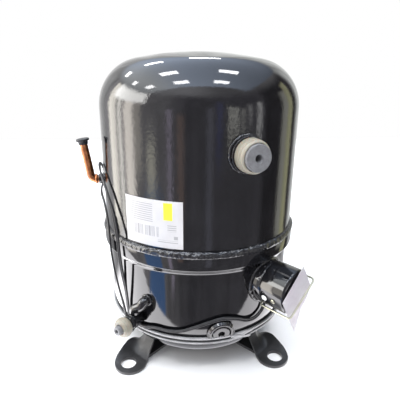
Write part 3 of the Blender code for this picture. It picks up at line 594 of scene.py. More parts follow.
def piece(name, geometry, finish, replaces=(), body="shell", sharp=40):
    """A finished piece that rides on a body and stands for CAD nodes."""
    obj = geometry if isinstance(geometry, bpy.types.Object) else build(name, geometry, finish)
    obj.name = name
    obj.data.shade_smooth()
    obj.data.set_sharp_from_angle(angle=radians(sharp))
    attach(obj, body)
    if replaces:
        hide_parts(*replaces)
    return obj


# ---- shell

def dome_profile(radius, knuckle, crown, top):
    """A torispherical head, from its top down to where the straight wall starts."""
    lean = asin((radius - knuckle) / (crown - knuckle))
    knuckle_z = top - crown + (crown - knuckle) * cos(lean)
    steps = 24
    crown_arc = [(crown * sin(lean * i / steps), top - crown + crown * cos(lean * i / steps))
                 for i in range(steps)]
    return crown_arc + arc(radius - knuckle, knuckle_z, knuckle, 90 - lean * 180 / pi, 0, steps)


def floor_profile(inset):
    """The lower shell's surface from its straight wall down to the axis, moved inward by the inset."""
    side_r = LOWER_R - FLOOR_KNUCKLE_R
    lean = asin(side_r / (FLOOR_CROWN_R - FLOOR_KNUCKLE_R))
    crown_z = FLOOR_KNUCKLE_Z + (FLOOR_CROWN_R - FLOOR_KNUCKLE_R) * cos(lean)
    crown_r = FLOOR_CROWN_R - inset
    steps = 16
    knuckle = arc(side_r, FLOOR_KNUCKLE_Z, FLOOR_KNUCKLE_R - inset, 0, lean * 180 / pi - 90, 2 * steps)
    crown = [(crown_r * sin(lean * i / steps), crown_z - crown_r * cos(lean * i / steps))
             for i in range(steps - 1, -1, -1)]
    return knuckle + crown


def wall_radius(height):
    """The lower shell's outer radius at this height."""
    drop = max(0.0, FLOOR_KNUCKLE_Z - height)
    return LOWER_R - FLOOR_KNUCKLE_R + sqrt(FLOOR_KNUCKLE_R ** 2 - drop ** 2)


def rod(place, radius, low=0.10, high=0.15):
    """A cutter along a radial direction."""
    return moved(peg(radius, low, high), radial(place))


def oil_frame():
    bearing, height = OIL
    dip = asin((FLOOR_KNUCKLE_Z - height) / FLOOR_KNUCKLE_R)
    return facing(at(bearing, wall_radius(height), height),
                  outward(bearing) * cos(dip) - Vector((0, 0, sin(dip))))


def make_upper_shell():
    outer = dome_profile(SHELL_R, DOME_KNUCKLE_R, DOME_CROWN_R, HEIGHT)
    inner = dome_profile(SHELL_R - WALL, DOME_KNUCKLE_R - WALL, DOME_CROWN_R - WALL, HEIGHT - WALL)
    rim_z = COLLAR_LOW_Z + WALL
    shell = build("upper_shell_skin", turned(
        outer + [(SHELL_R, rim_z), (SHELL_R - WALL, rim_z)] + inner[::-1], SHELL_SIDES), "black_enamel")
    carve(shell, rod(SUCTION, 0.0166), rod(PROCESS, 0.0064))
    piece("upper_shell_skin", shell, "black_enamel", ["upper_shell"])


def make_lower_shell():
    rim_z = COLLAR_LOW_Z + WALL
    collar = rounded([(SHELL_R + GAP, rim_z - GAP), (SHELL_R + GAP, COLLAR_TOP_Z), (COLLAR_R, COLLAR_TOP_Z),
                      (COLLAR_R, COLLAR_LOW_Z), (LOWER_R, COLLAR_LOW_Z - 0.0065)], 0.0018, closed=False)[:-1]
    eased = rounded([(COLLAR_R, COLLAR_LOW_Z + 0.001), (LOWER_R, COLLAR_LOW_Z - 0.0065), (LOWER_R, 0.12)],
                    0.0035, 6, closed=False)[1:-1]
    profile = floor_profile(WALL)[::-1] + [(LOWER_R - WALL, rim_z - GAP)] + collar + eased + floor_profile(0)
    shell = build("lower_shell_skin", turned(profile, SHELL_SIDES), "black_enamel")
    oil_tool = moved(peg(0.0152, -0.012, 0.010), oil_frame())
    carve(shell, rod(TERMINAL, 0.0166), rod(DISCHARGE_EXIT, 0.0064), oil_tool)
    piece("lower_shell_skin", shell, "black_enamel", ["lower_shell"])


def make_main_weld():
    """The bead that joins the shells: a bulging section, rippled as it was laid."""
    sides = 900
    section = [(SHELL_R + 0.0002 + 0.0042 * cos(a), COLLAR_TOP_Z + 0.0002 + 0.0050 * sin(a))
               for a in [radians(88 - 10 * i) for i in range(13)]]
    section = [(SHELL_R + 0.0001, section[0][1])] + section + [(SHELL_R + 0.0035, section[-1][1])]
    points, faces = turned(section, sides)
    shaped = []
    for p in points:
        turn = atan2(p.x, -p.y)
        ripple = 0.00008 * sin(turn * 130 + 4.0 * noise.noise(Vector((turn * 9, 0, 0))))
        wander = 0.0009 * noise.noise(Vector((turn * 5, p.z * 40, 3)))
        front = max(0.0, cos(turn)) ** 4
        lump = (0.0003 + 0.0007 * front) * noise.noise(p * 260) + 0.0004 * front * noise.noise(p * 700)
        share = max(0.0, min(1.0, (hypot(p.x, p.y) - SHELL_R - 0.0002) / 0.001))
        out = Vector((p.x, p.y, 0)).normalized()
        shaped.append(p + (out * 0.9 + Vector((0, 0, 0.8))) * (ripple + wander + lump) * share)
    piece("weld_bead_fillet", (shaped, faces), "lumpy_enamel", ["weld_bead"], sharp=70)


def saddle(place, radius, wall_r, thickness, seed):
    """A weld bead where a round stub meets the shell's wall."""
    bearing, height = place
    count = 120
    path = []
    for i in range(count):
        turn = 2 * pi * i / count
        across = radius * cos(turn)
        path.append(outward(bearing) * (sqrt(wall_r ** 2 - across ** 2) + thickness * 0.15)
                    + sideways(bearing) * across + Vector((0, 0, height + radius * sin(turn))))
    return crumpled(swept(path, thickness, 12, closed=True), thickness * 0.35, 0.0035, (seed, 0, 0))


# ---- feet

def foot_height(s, w):
    """The stamped sheet's height: flat at the ear, scooped up to the shell and up at its outer side."""
    ramp = max(0.0, 0.1175 - s)
    rise = ramp * 0.35 + ramp ** 2 * 45
    side = max(0.0, min(1.0, (w - 0.004) / 0.020))
    lip = side * side * 0.0112 * max(0.0, 1 - ((s - 0.1195) / 0.026) ** 2)
    return rise * (1 - side) + lip


def make_foot(name, bearing, outer_side):
    """One foot: a scooped sheet cut to its outline, with the mounting hole. The outer side turns up."""
    step = 0.001
    first_s, last_s = 0.088, 0.154
    first_w, last_w = -0.024, 0.030
    columns = round((last_s - first_s) / step) + 1
    rows = round((last_w - first_w) / step) + 1

    def place(i, j, side):
        s, w = first_s + i * step, first_w + j * step
        return Vector((s, w, foot_height(s, w) + (0.0 if side else PLATE)))

    plate = build(name, sheet(columns, rows, place), "foot_black")
    ear = [(EAR_CENTRE + EAR_R * cos(a), EAR_R * sin(a))
           for a in [radians(-128 + 206 * i / 40) for i in range(41)]]
    outline = ear + [(0.118, 0.0235), (0.105, 0.0265), (0.0885, 0.0275), (0.0885, -0.0105), (0.1080, -0.0105)]
    outline = rounded(outline, 0.003, 2)
    carve(plate, prism(outline, -0.01, 0.09), operation="INTERSECT")
    carve(plate, moved(peg(HOLE_R, -0.01, 0.05, 64), Matrix.Translation((HOLE_CENTRE, 0, 0))))
    basis = Matrix.Identity(4)
    out, across = outward(bearing), sideways(bearing) * outer_side
    for row in range(3):
        basis[row][0] = out[row]
        basis[row][1] = across[row]
    plate.data.transform(basis)
    if basis.determinant() < 0:
        plate.data.flip_normals()
    carve(plate, turned([(0, 0.2)] + [(r + GAP, z - (GAP if r < 0.06 else 0)) for r, z in
                                      [(LOWER_R, 0.2)] + floor_profile(-GAP)[:-1]] + [(0, 0.0040)], 128))
    soften(plate, 0.0007)
    piece(name + "_plate", plate, "foot_black", [name])


# ---- fittings

def make_suction():
    stub = rounded([(0.0150, 0.1405), (0.0150, 0.1292), (0.0195, 0.1292), (0.0195, 0.1262), (0.0165, 0.1258),
                    (0.0165, 0.1140), (0.0115, 0.1140), (0.0115, 0.1405)], 0.0007)
    piece("suction_stub", moved(turned(stub), radial(SUCTION)), "smooth_enamel", ["suction_spud"])
    piece("suction_weld", saddle(SUCTION, 0.0193, SHELL_R, 0.0019, 1.0), "lumpy_enamel", sharp=70)
    guard = rounded([(0.0152, 0.1450), (0.0164, 0.1440), (0.0173, 0.1420), (0.0175, 0.1402),
                     (0.0171, 0.1397), (0.0171, 0.1391), (0.0179, 0.1384), (0.0180, 0.1312),
                     (0.0174, 0.1295), (0.0153, 0.1295), (0.0153, 0.1408), (0.0146, 0.1408),
                     (0.0146, 0.1450)], 0.0004, 3)
    piece("suction_protector", moved(turned(guard), radial(SUCTION)), "cream_plastic", ["suction_thread_cap"])
    plug = rounded([(0.0036, 0.1474), (0.0048, 0.1490), (0.0118, 0.1490), (0.0122, 0.1486), (0.0126, 0.1490),
                    (0.0142, 0.1486), (0.0142, 0.1409), (0.0112, 0.1409), (0.0109, 0.1200), (0, 0.1200),
                    (0, 0.1360), (0.0036, 0.1360)], 0.0004, 3)
    piece("suction_plug_body", moved(turned(on_axis(plug)), radial(SUCTION)), "grey_rubber",
          ["suction_plug"], "suction_plug")


def make_discharge():
    bearing, height = DISCHARGE
    exit_bearing, exit_z = DISCHARGE_EXIT
    route = [at(exit_bearing, 0.1120, exit_z), at(exit_bearing, 0.1215, exit_z),
             at(exit_bearing - 0.5, 0.1256, exit_z - 0.0016), at(exit_bearing - 1.5, 0.1277, exit_z - 0.0062),
             at(bearing + 0.5, 0.1300, height + 0.0150), at(bearing, 0.1300, height + 0.0100)]
    piece("discharge_pipe", swept(smooth_route(route, 0.001), 0.0060, 40), "smooth_enamel",
          ["discharge_tube"])
    piece("discharge_pipe_weld", saddle(DISCHARGE_EXIT, 0.0066, LOWER_R, 0.0012, 2.0), "lumpy_enamel",
          sharp=70)
    body = 0.009
    threads = [(0.0070 - 0.0004 * (i % 2), 0.1372 + 0.0006 * i) for i in range(24, 0, -1)]
    stub = threads + rounded([(body, 0.1368), (body, 0.1232), (body - 0.0008, 0.1224), (0.001, 0.1224)],
                             0.0008) + [(0, 0.1224), (0, 0.1300), (0.0052, 0.1300), (0.0052, 0.1516)]
    piece("discharge_stub", moved(turned(stub), radial(DISCHARGE)), "smooth_enamel", ["discharge_spud"])
    piece("discharge_hex_nut", hex_nut(DISCHARGE, 0.0073, 0.0108, 0.1376, 0.1417), "lumpy_enamel",
          ["discharge_nut"], sharp=25)
    bulb = arc(0.0040, 0.1492, 0.0078, 48, -64, 22)
    guard = [*bulb, (0.0073, 0.1421), (0.0073, 0.1524), (0.0064, 0.1530), (0.0064, 0.1550)]
    ribs = [(r + (0.00025 * sin(i * 1.9) if 3 < i < 20 else 0), z) for i, (r, z) in enumerate(guard)]
    piece("discharge_protector", moved(turned(ribs, 64), radial(DISCHARGE)), "cream_plastic",
          ["discharge_thread_cap"])
    plug = rounded([(0.0028, 0.1600), (0.0048, 0.1600), (0.0054, 0.1592), (0.0056, 0.1524),
                    (0.0049, 0.1520), (0.0049, 0.1420), (0, 0.1420), (0, 0.1540), (0.0022, 0.1540),
                    (0.0022, 0.1592)], 0.0003, 3)
    piece("discharge_plug_body", moved(turned(on_axis(plug), 64), radial(DISCHARGE)), "grey_rubber",
          ["discharge_plug"], "discharge_plug")


def hex_nut(place, bore, across_corners, low, high):
    """Six flats with turned chamfers and a washer face."""
    sides = 72
    points = []
    faces = []
    middle = (low + high) / 2
    for level, ease in ((high, 0.86), (high - 0.0006, 0.97), (middle, 1.0), (low + 0.0006, 0.97),
                        (low, 0.86)):
        for i in range(sides):
            turn = 2 * pi * i / sides
            corner = abs((turn + pi / 6) % (pi / 3) - pi / 6)
            flat = across_corners * cos(pi / 6) / cos(pi / 6 - corner)
            reach = min(flat, across_corners * ease)
            points.append(Vector((reach * cos(turn), reach * sin(turn), level)))
    for level in (low, high):
        points += [Vector((bore * cos(2 * pi * i / sides), bore * sin(2 * pi * i / sides), level))
                   for i in range(sides)]
    for a, b in ((0, 1), (1, 2), (2, 3), (3, 4), (4, 5), (5, 6), (6, 0)):
        for i in range(sides):
            j = (i + 1) % sides
            faces.append((a * sides + i, b * sides + i, b * sides + j, a * sides + j))
    return moved((points, faces), radial(place))


def belt_relief():
    """A cutter for the room that the belt takes."""
    return turned([(0.130, BELT_TOP_Z + GAP), (0.130, 0.030), (0.106, 0.030),
                   (0.106, BELT_TOP_Z + GAP)], 160)


def make_oil_fitting():
    rings = []
    for i in range(5):
        base = 0.0034 - 0.0006 * i
        rings += [(0.0152 + 0.0005 * i, base), (0.0155 + 0.0005 * i, base - 0.0002)]
    profile = [(0.0128, 0.0036), (0.0140, 0.0036), (0.0148, 0.0030)] + rings
    profile += [(0.0175, 0.0008), (0.0150, 0.0008), (0.0150, -0.0060), (0.0118, -0.0060), (0.0118, 0.0030)]
    fitting = build("oil_fitting_body", moved(turned(profile, 128), oil_frame()), "smooth_enamel")
    carve(fitting, belt_relief())
    piece("oil_fitting_body", fitting, "smooth_enamel", ["oil_fitting"], sharp=25)
    profile = rounded([(0.0040, 0.0030), (0.0098, 0.0030), (0.0112, 0.0016), (0.0115, -0.0050),
                       (0, -0.0050), (0, -0.0010), (0.0040, -0.0010)], 0.0005, 3)
    profile = [(0.0, z) if r < 0.0006 else (r, z) for r, z in profile]
    plug = build("oil_plug_body", moved(turned(profile, 64), oil_frame()), "smooth_enamel")
    carve(plug, belt_relief())
    piece("oil_plug_body", plug, "smooth_enamel", ["oil_fitting_plug"])


def make_process_tube():
    bearing, height = PROCESS
    stub = rounded([(0.0062, 0.1305), (0.0062, 0.1150), (0.0030, 0.1150), (0.0030, 0.1305)], 0.0006)
    piece("process_stub_body", moved(turned(stub, 64), radial(PROCESS)), "smooth_enamel", ["process_stub"])
    piece("process_stub_weld", saddle(PROCESS, 0.0068, SHELL_R, 0.0013, 3.0), "lumpy_enamel", sharp=70)
    route = [at(bearing, 0.1309, height), at(bearing, 0.1348, height), at(bearing, 0.1374, height + 0.0012),
             at(bearing, 0.1398, height + 0.0045), at(bearing, 0.1408, height + 0.011),
             at(bearing, 0.1424, height + 0.022), at(bearing, 0.1462, 0.2755)]
    path = smooth_route(route, 0.0008)
    piece("process_tube_body", crumpled(swept(path, 0.0048, 32), 0.00012, 0.006), "copper", ["process_tube"])
    braze = moved(turned(arc(0.0042, 0, 0.0021, 80, -80, 12) + [(0.0049, -0.002), (0.0049, 0.002)], 48),
                  facing(path[3], path[4] - path[2]))
    piece("process_braze_ring", crumpled(braze, 0.0003, 0.003), "copper", sharp=60)
    lean = (route[-1] - route[-2]).normalized()
    inner = 0.0051
    cap = rounded([(0.0001, 0.0042), (0.0074, 0.0042), (0.0082, 0.0032), (0.0078, 0.0014), (0.0060, 0.0010),
                   (0.0056, -0.0030), (inner, -0.0030), (inner, GAP), (0.0001, GAP)], 0.0006, 3, closed=False)
    piece("process_cap_body", moved(turned(on_axis(cap), 64), facing(route[-1], lean)), "black_rubber",
          ["process_tube_cap"], "tube_cap")


# ---- terminal box

def on_box(out_distance, across, up):
    bearing, height = TERMINAL
    return outward(bearing) * out_distance + sideways(bearing) * across + Vector((0, 0, height + up))


def around_box(angle):
    """The direction out of the box's side at this angle, which starts at the right and grows upward."""
    return sideways(TERMINAL[0]) * cos(radians(angle)) + Vector((0, 0, sin(radians(angle))))


def bail_point(along, over, out_distance):
    """A point of the bail's plane: along its pivot, over it, and out from the axis."""
    tilt = radians(BAIL_TILT)
    return on_box(out_distance, along * cos(tilt) + (BAIL_OFFSET + over) * sin(tilt),
                  along * sin(tilt) - (BAIL_OFFSET + over) * cos(tilt))


def make_terminal_box():
    fence_profile = rounded([(BOX_R, FENCE_FRONT), (BOX_R, 0.105), (BOX_R - 0.0015, 0.105),
                             (BOX_R - 0.0015, FENCE_FRONT)], 0.0004, 2)
    fence = build("terminal_fence_body", moved(turned(fence_profile, 128), radial(TERMINAL)), "smooth_enamel")
    envelope = peg(LOWER_R + GAP, 0.06, 0.20, 256)
    collar = turned([(0.10, 0.172), (COLLAR_R + GAP, 0.172), (COLLAR_R + GAP, COLLAR_LOW_Z - GAP),
                     (LOWER_R + GAP, COLLAR_LOW_Z - 0.0065), (0.10, COLLAR_LOW_Z - 0.0065)], 256)
    direction = bail_point(1, 0, BAIL_PIVOT) - bail_point(0, 0, BAIL_PIVOT)
    pivot = moved(peg(0.0014, -0.04, 0.04, 24), facing(bail_point(0, 0, BAIL_PIVOT), direction))
    carve(fence, envelope, collar, pivot)
    piece("terminal_fence_body", fence, "smooth_enamel", ["terminal_fence"], sharp=30)
    piece("terminal_fence_weld", fence_weld(), "lumpy_enamel", sharp=70)
    make_cover()


def make_cover():
    """The box's cover, with the plug and the screw in its side."""
    cover_profile = rounded([
        (BOX_R - 0.0075, BOX_FACE - 0.0005), (BOX_R - 0.0060, BOX_FACE), (BOX_R - 0.0012, BOX_FACE),
        (BOX_R + 0.0002, BOX_FACE - 0.0018), (BOX_R + 0.0002, FENCE_FRONT + GAP),
        (BOX_R - 0.0012, FENCE_FRONT + GAP), (BOX_R - 0.0012, BOX_FACE - 0.0020),
        (0.0001, BOX_FACE - 0.0020), (0.0001, BOX_FACE - 0.0005)], 0.0008, 4, closed=False)
    cover_profile = cover_profile[:-2] + [(0.0, BOX_FACE - 0.0020), (0.0, BOX_FACE - 0.0005)]
    cover_profile = [cover_profile[-1]] + cover_profile[:-1]
    cover = build("terminal_cover_body", moved(turned(cover_profile, 128), radial(TERMINAL)), "smooth_enamel")
    fasteners = (("conduit_plug", 0.1380, 194.0, 0.0036, "white_plastic"),
                 ("ground_screw", 0.1500, 193.0, 0.0028, "zinc"))
    for name, distance, angle, radius, finish in fasteners:
        place = facing(on_box(distance, 0, 0), around_box(angle))
        carve(cover, moved(peg(radius * 0.6 + GAP, 0.02, 0.04, 32), place))
        make_fastener(name, radius, finish, place)
    carve(cover, moved(peg(0.0016, 0.02, 0.04, 24), facing(on_box(0.1460, 0, 0), around_box(217))))
    piece("terminal_cover_body", cover, "smooth_enamel", ["terminal_cover"], sharp=30)


def fence_weld():
    """The bead round the fence, on the wall's surface and up over the collar's edge."""
    count = 160
    bearing, height = TERMINAL
    path = []
    for i in range(count):
        turn = 2 * pi * i / count
        across = (BOX_R + 0.0006) * cos(turn)
        up = (BOX_R + 0.0006) * sin(turn)
        over = max(0.0, min(1.0, (height + up - COLLAR_LOW_Z + 0.0065) / 0.0065))
        wall = LOWER_R + (COLLAR_R - LOWER_R) * over
        path.append(on_box(sqrt(wall ** 2 - across ** 2) + 0.0006, across, up))
    bead = crumpled(swept(path, 0.0021, 12, closed=True), 0.0009, 0.0045, (5, 0, 0))
    drops = []
    for number, turn in enumerate((96, 118, 139, 152, 171)):
        place = facing(on_box(FENCE_FRONT - 0.003 - 0.0012 * (number % 3), BOX_R * cos(radians(turn)),
                              BOX_R * sin(radians(turn))), outward(bearing))
        drops.append(crumpled(moved(turned(arc(0, 0, 0.0011 + 0.0003 * (number % 2), 90, -90, 8), 12), place),
                              0.0003, 0.002))
    return merged(bead, *drops)


def make_fastener(name, radius, finish, place):
    head = rounded([(0.0001, BOX_R + 0.0018), (radius * 0.7, BOX_R + 0.0018), (radius, BOX_R + 0.0010),
                    (radius, BOX_R + 0.0006), (radius * 0.6, BOX_R + 0.0006), (radius * 0.6, BOX_R - 0.0030),
                    (0.0001, BOX_R - 0.0030)], 0.0005, 4, closed=False)
    made = build(name + "_head", moved(turned(on_axis(head), 48), place), finish)
    if name == "ground_screw":
        for turn in (0, 90):
            corners = ((-0.0018, -0.0003), (0.0018, -0.0003), (0.0018, 0.0003), (-0.0018, 0.0003))
            bar = prism(corners, BOX_R + 0.0012, BOX_R + 0.003)
            carve(made, moved(bar, place @ Matrix.Rotation(radians(turn), 4, "Z")))
    piece(name + "_head", made, finish, [name], sharp=30)


def make_bail():
    """The wire, from one pivot round its three bends to the other."""
    half = BAIL_HALF_WIDTH
    front = BAIL_PIVOT + BAIL_REACH
    bend, corner, end = 0.0014, 0.0045, 0.0222
    small = [radians(15 * i) for i in range(1, 7)]
    large = [radians(9 * i) for i in range(11)]
    path = [(-end, BAIL_PIVOT), (-half + bend, BAIL_PIVOT)]
    path += [(-half + bend * (1 - sin(a)), BAIL_PIVOT + bend * (1 - cos(a))) for a in small]
    path += [(-half + corner * (1 - cos(a)), front - corner * (1 - sin(a))) for a in large]
    path += [(half - corner * (1 - sin(a)), front - corner * (1 - cos(a))) for a in large]
    path += [(half - bend * (1 - cos(a)), BAIL_PIVOT + bend * (1 - sin(a))) for a in small]
    path = [bail_point(along, 0, out_distance) for along, out_distance in [*path, (end, BAIL_PIVOT)]]
    piece("terminal_bail_wire", swept(path, BAIL_WIRE_R, 20), "zinc", ["terminal_bail"], "bail")


def make_card():
    """The card under the bail: a thin sheet with one corner bent back and a slight wave."""
    count = 40
    left, top, right, bottom = [Vector(corner) for corner in CARD_CORNERS]

    def place(i, j, side):
        s, t = i / count, j / count
        across, up = left.lerp(bottom, s).lerp(top.lerp(right, s), t)
        overhang = max(0.0, hypot(across, up) - BOX_R)
        back = CARD_BEND * s * t * min(1.0, overhang / CARD_BEND)
        wave = 0.0005 * sin(s * 5 + 0.6) * sin(t * 4) * min(1.0, overhang / 0.004)
        skin = -CARD_HALF if side else CARD_HALF
        return on_box(BOX_FACE + CARD_LIFT - back + wave + skin, across, up)

    piece("instruction_card_sheet", sheet(count + 1, count + 1, place), "card_paper",
          ["instruction_card"])


# ---- heater, lead and label

def belt_section(low, high, thick):
    """A rounded strap section standing on the shell's wall between two heights."""
    return rounded([(wall_radius(high) + GAP + thick, high), (wall_radius(low) + GAP + thick, low),
                    (wall_radius(low) + GAP, low), (wall_radius(high) + GAP, high)], thick * 0.45, 5)


def make_heater():
    """The belt: two bright rails along its edges and a darker channel between them."""
    channel = belt_section(BELT_LOW_Z + 0.0010, BELT_TOP_Z - 0.0010, 0.0012)
    rails = [turned(belt_section(low, low + 0.0040, 0.0034), SHELL_SIDES)
             for low in (BELT_LOW_Z, BELT_TOP_Z - 0.0040)]
    belt = merged(*rails)
    piece("heater_belt_rails", belt, "belt_grey", ["heater_belt"], sharp=60)
    piece("heater_belt_channel", turned(channel, SHELL_SIDES), "black_rubber")
    make_buckle()


def make_buckle():
    """The tensioner: two strap ends that cross."""
    strips = []
    straps = ((14.0, 30.0, 0.0490, 0.0560), (15.0, 29.0, 0.0560, 0.0480))
    for number, (start, end, low, high) in enumerate(straps):
        steps = 30
        points = []
        for i in range(steps + 1):
            share = i / steps
            bearing = start + (end - start) * share
            height = low + (high - low) * (share * share * (3 - 2 * share))
            lift = 0.0008 + 0.0011 * number
            base = wall_radius(height) + 0.0026 + lift
            for r, z in ((base, height - 0.0016), (base + 0.0007, height - 0.0016),
                         (base + 0.0007, height + 0.0016), (base, height + 0.0016)):
                points.append(at(bearing, r, z))
        faces = [(4 * i + k, 4 * i + (k + 1) % 4, 4 * i + 4 + (k + 1) % 4, 4 * i + 4 + k)
                 for i in range(steps) for k in range(4)]
        faces += [(3, 2, 1, 0), tuple(4 * steps + k for k in range(4))]
        strips.append((points, faces))
    clip = build("heater_buckle_clip", merged(*strips), "belt_grey")
    soften(clip, 0.0002, 2)
    piece("heater_buckle_clip", clip, "belt_grey", ["heater_buckle"])


def make_lead():
    """The heater's twin lead, as two strands side by side."""
    path = smooth_route([at(*stop) for stop in LEAD_ROUTE], 0.0022)
    for number, side in enumerate((-1, 1)):
        strand = []
        for i, p in enumerate(path):
            direction = (path[min(i + 1, len(path) - 1)] - path[max(i - 1, 0)]).normalized()
            out = Vector((p.x, p.y, 0)).normalized()
            across = direction.cross(out).normalized()
            twist = 0.5 * sin(i * 0.045)
            strand.append(p + (across * cos(twist) + out * sin(twist) * 0.6) * side * STRAND_R * 1.02)
        piece("heater_lead_strand_%d" % (number + 1), swept(strand, STRAND_R, 12), "black_rubber",
              ["heater_lead"] if number == 0 else ())


def make_label():
    """A paper label that follows the wall."""
    first, last = LABEL_BEARINGS
    low, high = LABEL_HEIGHTS
    columns, rows = 96, 24

    def place(i, j, side):
        return at(first + (last - first) * i / columns, SHELL_R + 0.0001 + (0.0 if side else LABEL_SHEET),
                  low + (high - low) * j / rows)

    piece("rating_label_sheet", sheet(columns + 1, rows + 1, place), "label_paper", ["rating_label"])


# ---- what stays as the CAD has it

def finish_carried_nodes():
    """The cross plate and the sealed pump and motor keep their CAD shapes and get a material."""
    by_slot = {row["node"]: row["material_slot"] for row in frame["record"]["subparts"]}
    for name, obj in frame["nodes"].items():
        if obj.hide_render:
            continue
        obj.data.materials.clear()
        obj.data.materials.append(FINISHES[by_slot[name]])
        obj.data.shade_smooth()
        obj.data.set_sharp_from_angle(angle=radians(30))


# ---- stage

def emitter(name, location, target, size, radiance, glossy=True):
    """A rectangular soft light of this radiance, aimed at the target."""
    data = bpy.data.lights.new(name, "AREA")
    data.shape = "RECTANGLE"
    data.size, data.size_y = size
    data.energy = radiance * pi * size[0] * size[1]
    light = bpy.data.objects.new(name, data)
    bpy.context.scene.collection.objects.link(light)
    light.matrix_world = Matrix.Translation(location) @ (
        Vector(target) - Vector(location)).to_track_quat("-Z", "Y").to_matrix().to_4x4()
    light.visible_camera = False
    light.visible_glossy = glossy


def make_floor():
    """A pale board. To the gloss paint it is a painted glow: bright behind its front edge, dim in front of
    it, with a painted shadow close round the object.
    """
    f = Finish("pale_floor", 0.8)
    f.colour(f.ramp(f.noise(3.0), (0.3, (0.86, 0.86, 0.87)), (0.7, (0.90, 0.90, 0.90))))
    f.bump((f.noise(60.0), 0.0001))
    x, y, _ = f.axes()
    edge = f.math("SUBTRACT", y, f.times(x, x, 0.6))
    reach = f.math("SQRT", f.math("ADD", f.times(x, x), f.times(y, y)))
    # Painted light: the board's lit brightness as gloss paint mirrors it, a glow brighter at the left than at
    # the right, dim in front of its edge
    board = f.mix(f.step(x, -0.10, 0.10), (7.4, 7.3, 7.5), (5.4, 5.3, 5.5))
    board = f.mix(f.step(y, 0.02, 0.12), board, (0.7, 0.7, 0.72))
    # Painted shadow: the glow falls to 0.8 near the axis, where the object shades the floor
    board = f.mix(f.step(reach, 0.115, 0.165), (0.8, 0.8, 0.85), board)
    painted_glow = f.nodes.new("ShaderNodeEmission")
    f.links.new(board, painted_glow.inputs["Color"])
    clear = f.nodes.new("ShaderNodeBsdfTransparent")
    near = f.times(f.step(x, -0.62, -0.40), f.step(edge, -0.200, -0.193), f.step(x, 0.36, 0.26))
    seen = f.either(near, clear.outputs["BSDF"], painted_glow.outputs["Emission"])
    glossy = f.nodes.new("ShaderNodeLightPath").outputs["Is Glossy Ray"]
    whole = f.either(glossy, f.shader.outputs["BSDF"], seen)
    f.links.new(whole, f.nodes["Material Output"].inputs["Surface"])
    FINISHES["pale_floor"] = f.material
    size = 1.6
    floor = build("floor", ([Vector((x, y, 0)) for x, y in
                             ((-size, -size), (size, -size), (size, size), (-size, size))], [(0, 1, 2, 3)]),
                  "pale_floor")


# The share of the room's light that falls on a matt surface, beside what a gloss one mirrors
MATT_SHARE = 0.3
# What stands round the object: bearings and elevations in degrees, radiance
ROOM = (
    ((-122, -107), (-26, 28), (7.0, 6.7, 6.1)),
    ((-104, -98), (-26, 28), (9.0, 8.7, 8.1)),
    ((-94, -80), (-22, 28), (10.0, 9.4, 8.6)),
    ((-114, -66), (13, 32), (13.0, 12.9, 12.6)),
    ((-68, -47), (-60, -18), (0.60, 1.25, 2.7)),
    ((-79, -70), (-14, 14), (3.6, 3.4, 3.1)),
    ((-63, -53), (-17, -9), (4.6, 4.5, 3.8)),
    ((-38, -34), (-34, 6), (3.0, 2.7, 3.4)),
    ((-27, -21), (-24, -2), (1.5, 1.1, 0.95)),
    ((5, 11), (-30, 12), (1.0, 1.0, 1.2)),
    ((16, 20), (-12, 22), (0.5, 0.55, 1.15)),
    ((29, 31.5), (-9, 14), (5.5, 5.5, 5.0)),
    ((35, 38), (-9, 10), (5.0, 5.0, 4.6)),
    ((43, 45.5), (-9, 8), (3.4, 3.4, 3.2)),
    ((51.5, 54), (-7, 14), (3.4, 3.4, 3.4)),
    ((63, 66.5), (-10, 16), (5.0, 5.0, 5.0)),
    ((100, 111), (-24, 20), (1.3, 1.3, 1.15)),
    ((111, 122), (-28, 26), (1.3, 1.28, 0.8)),
)


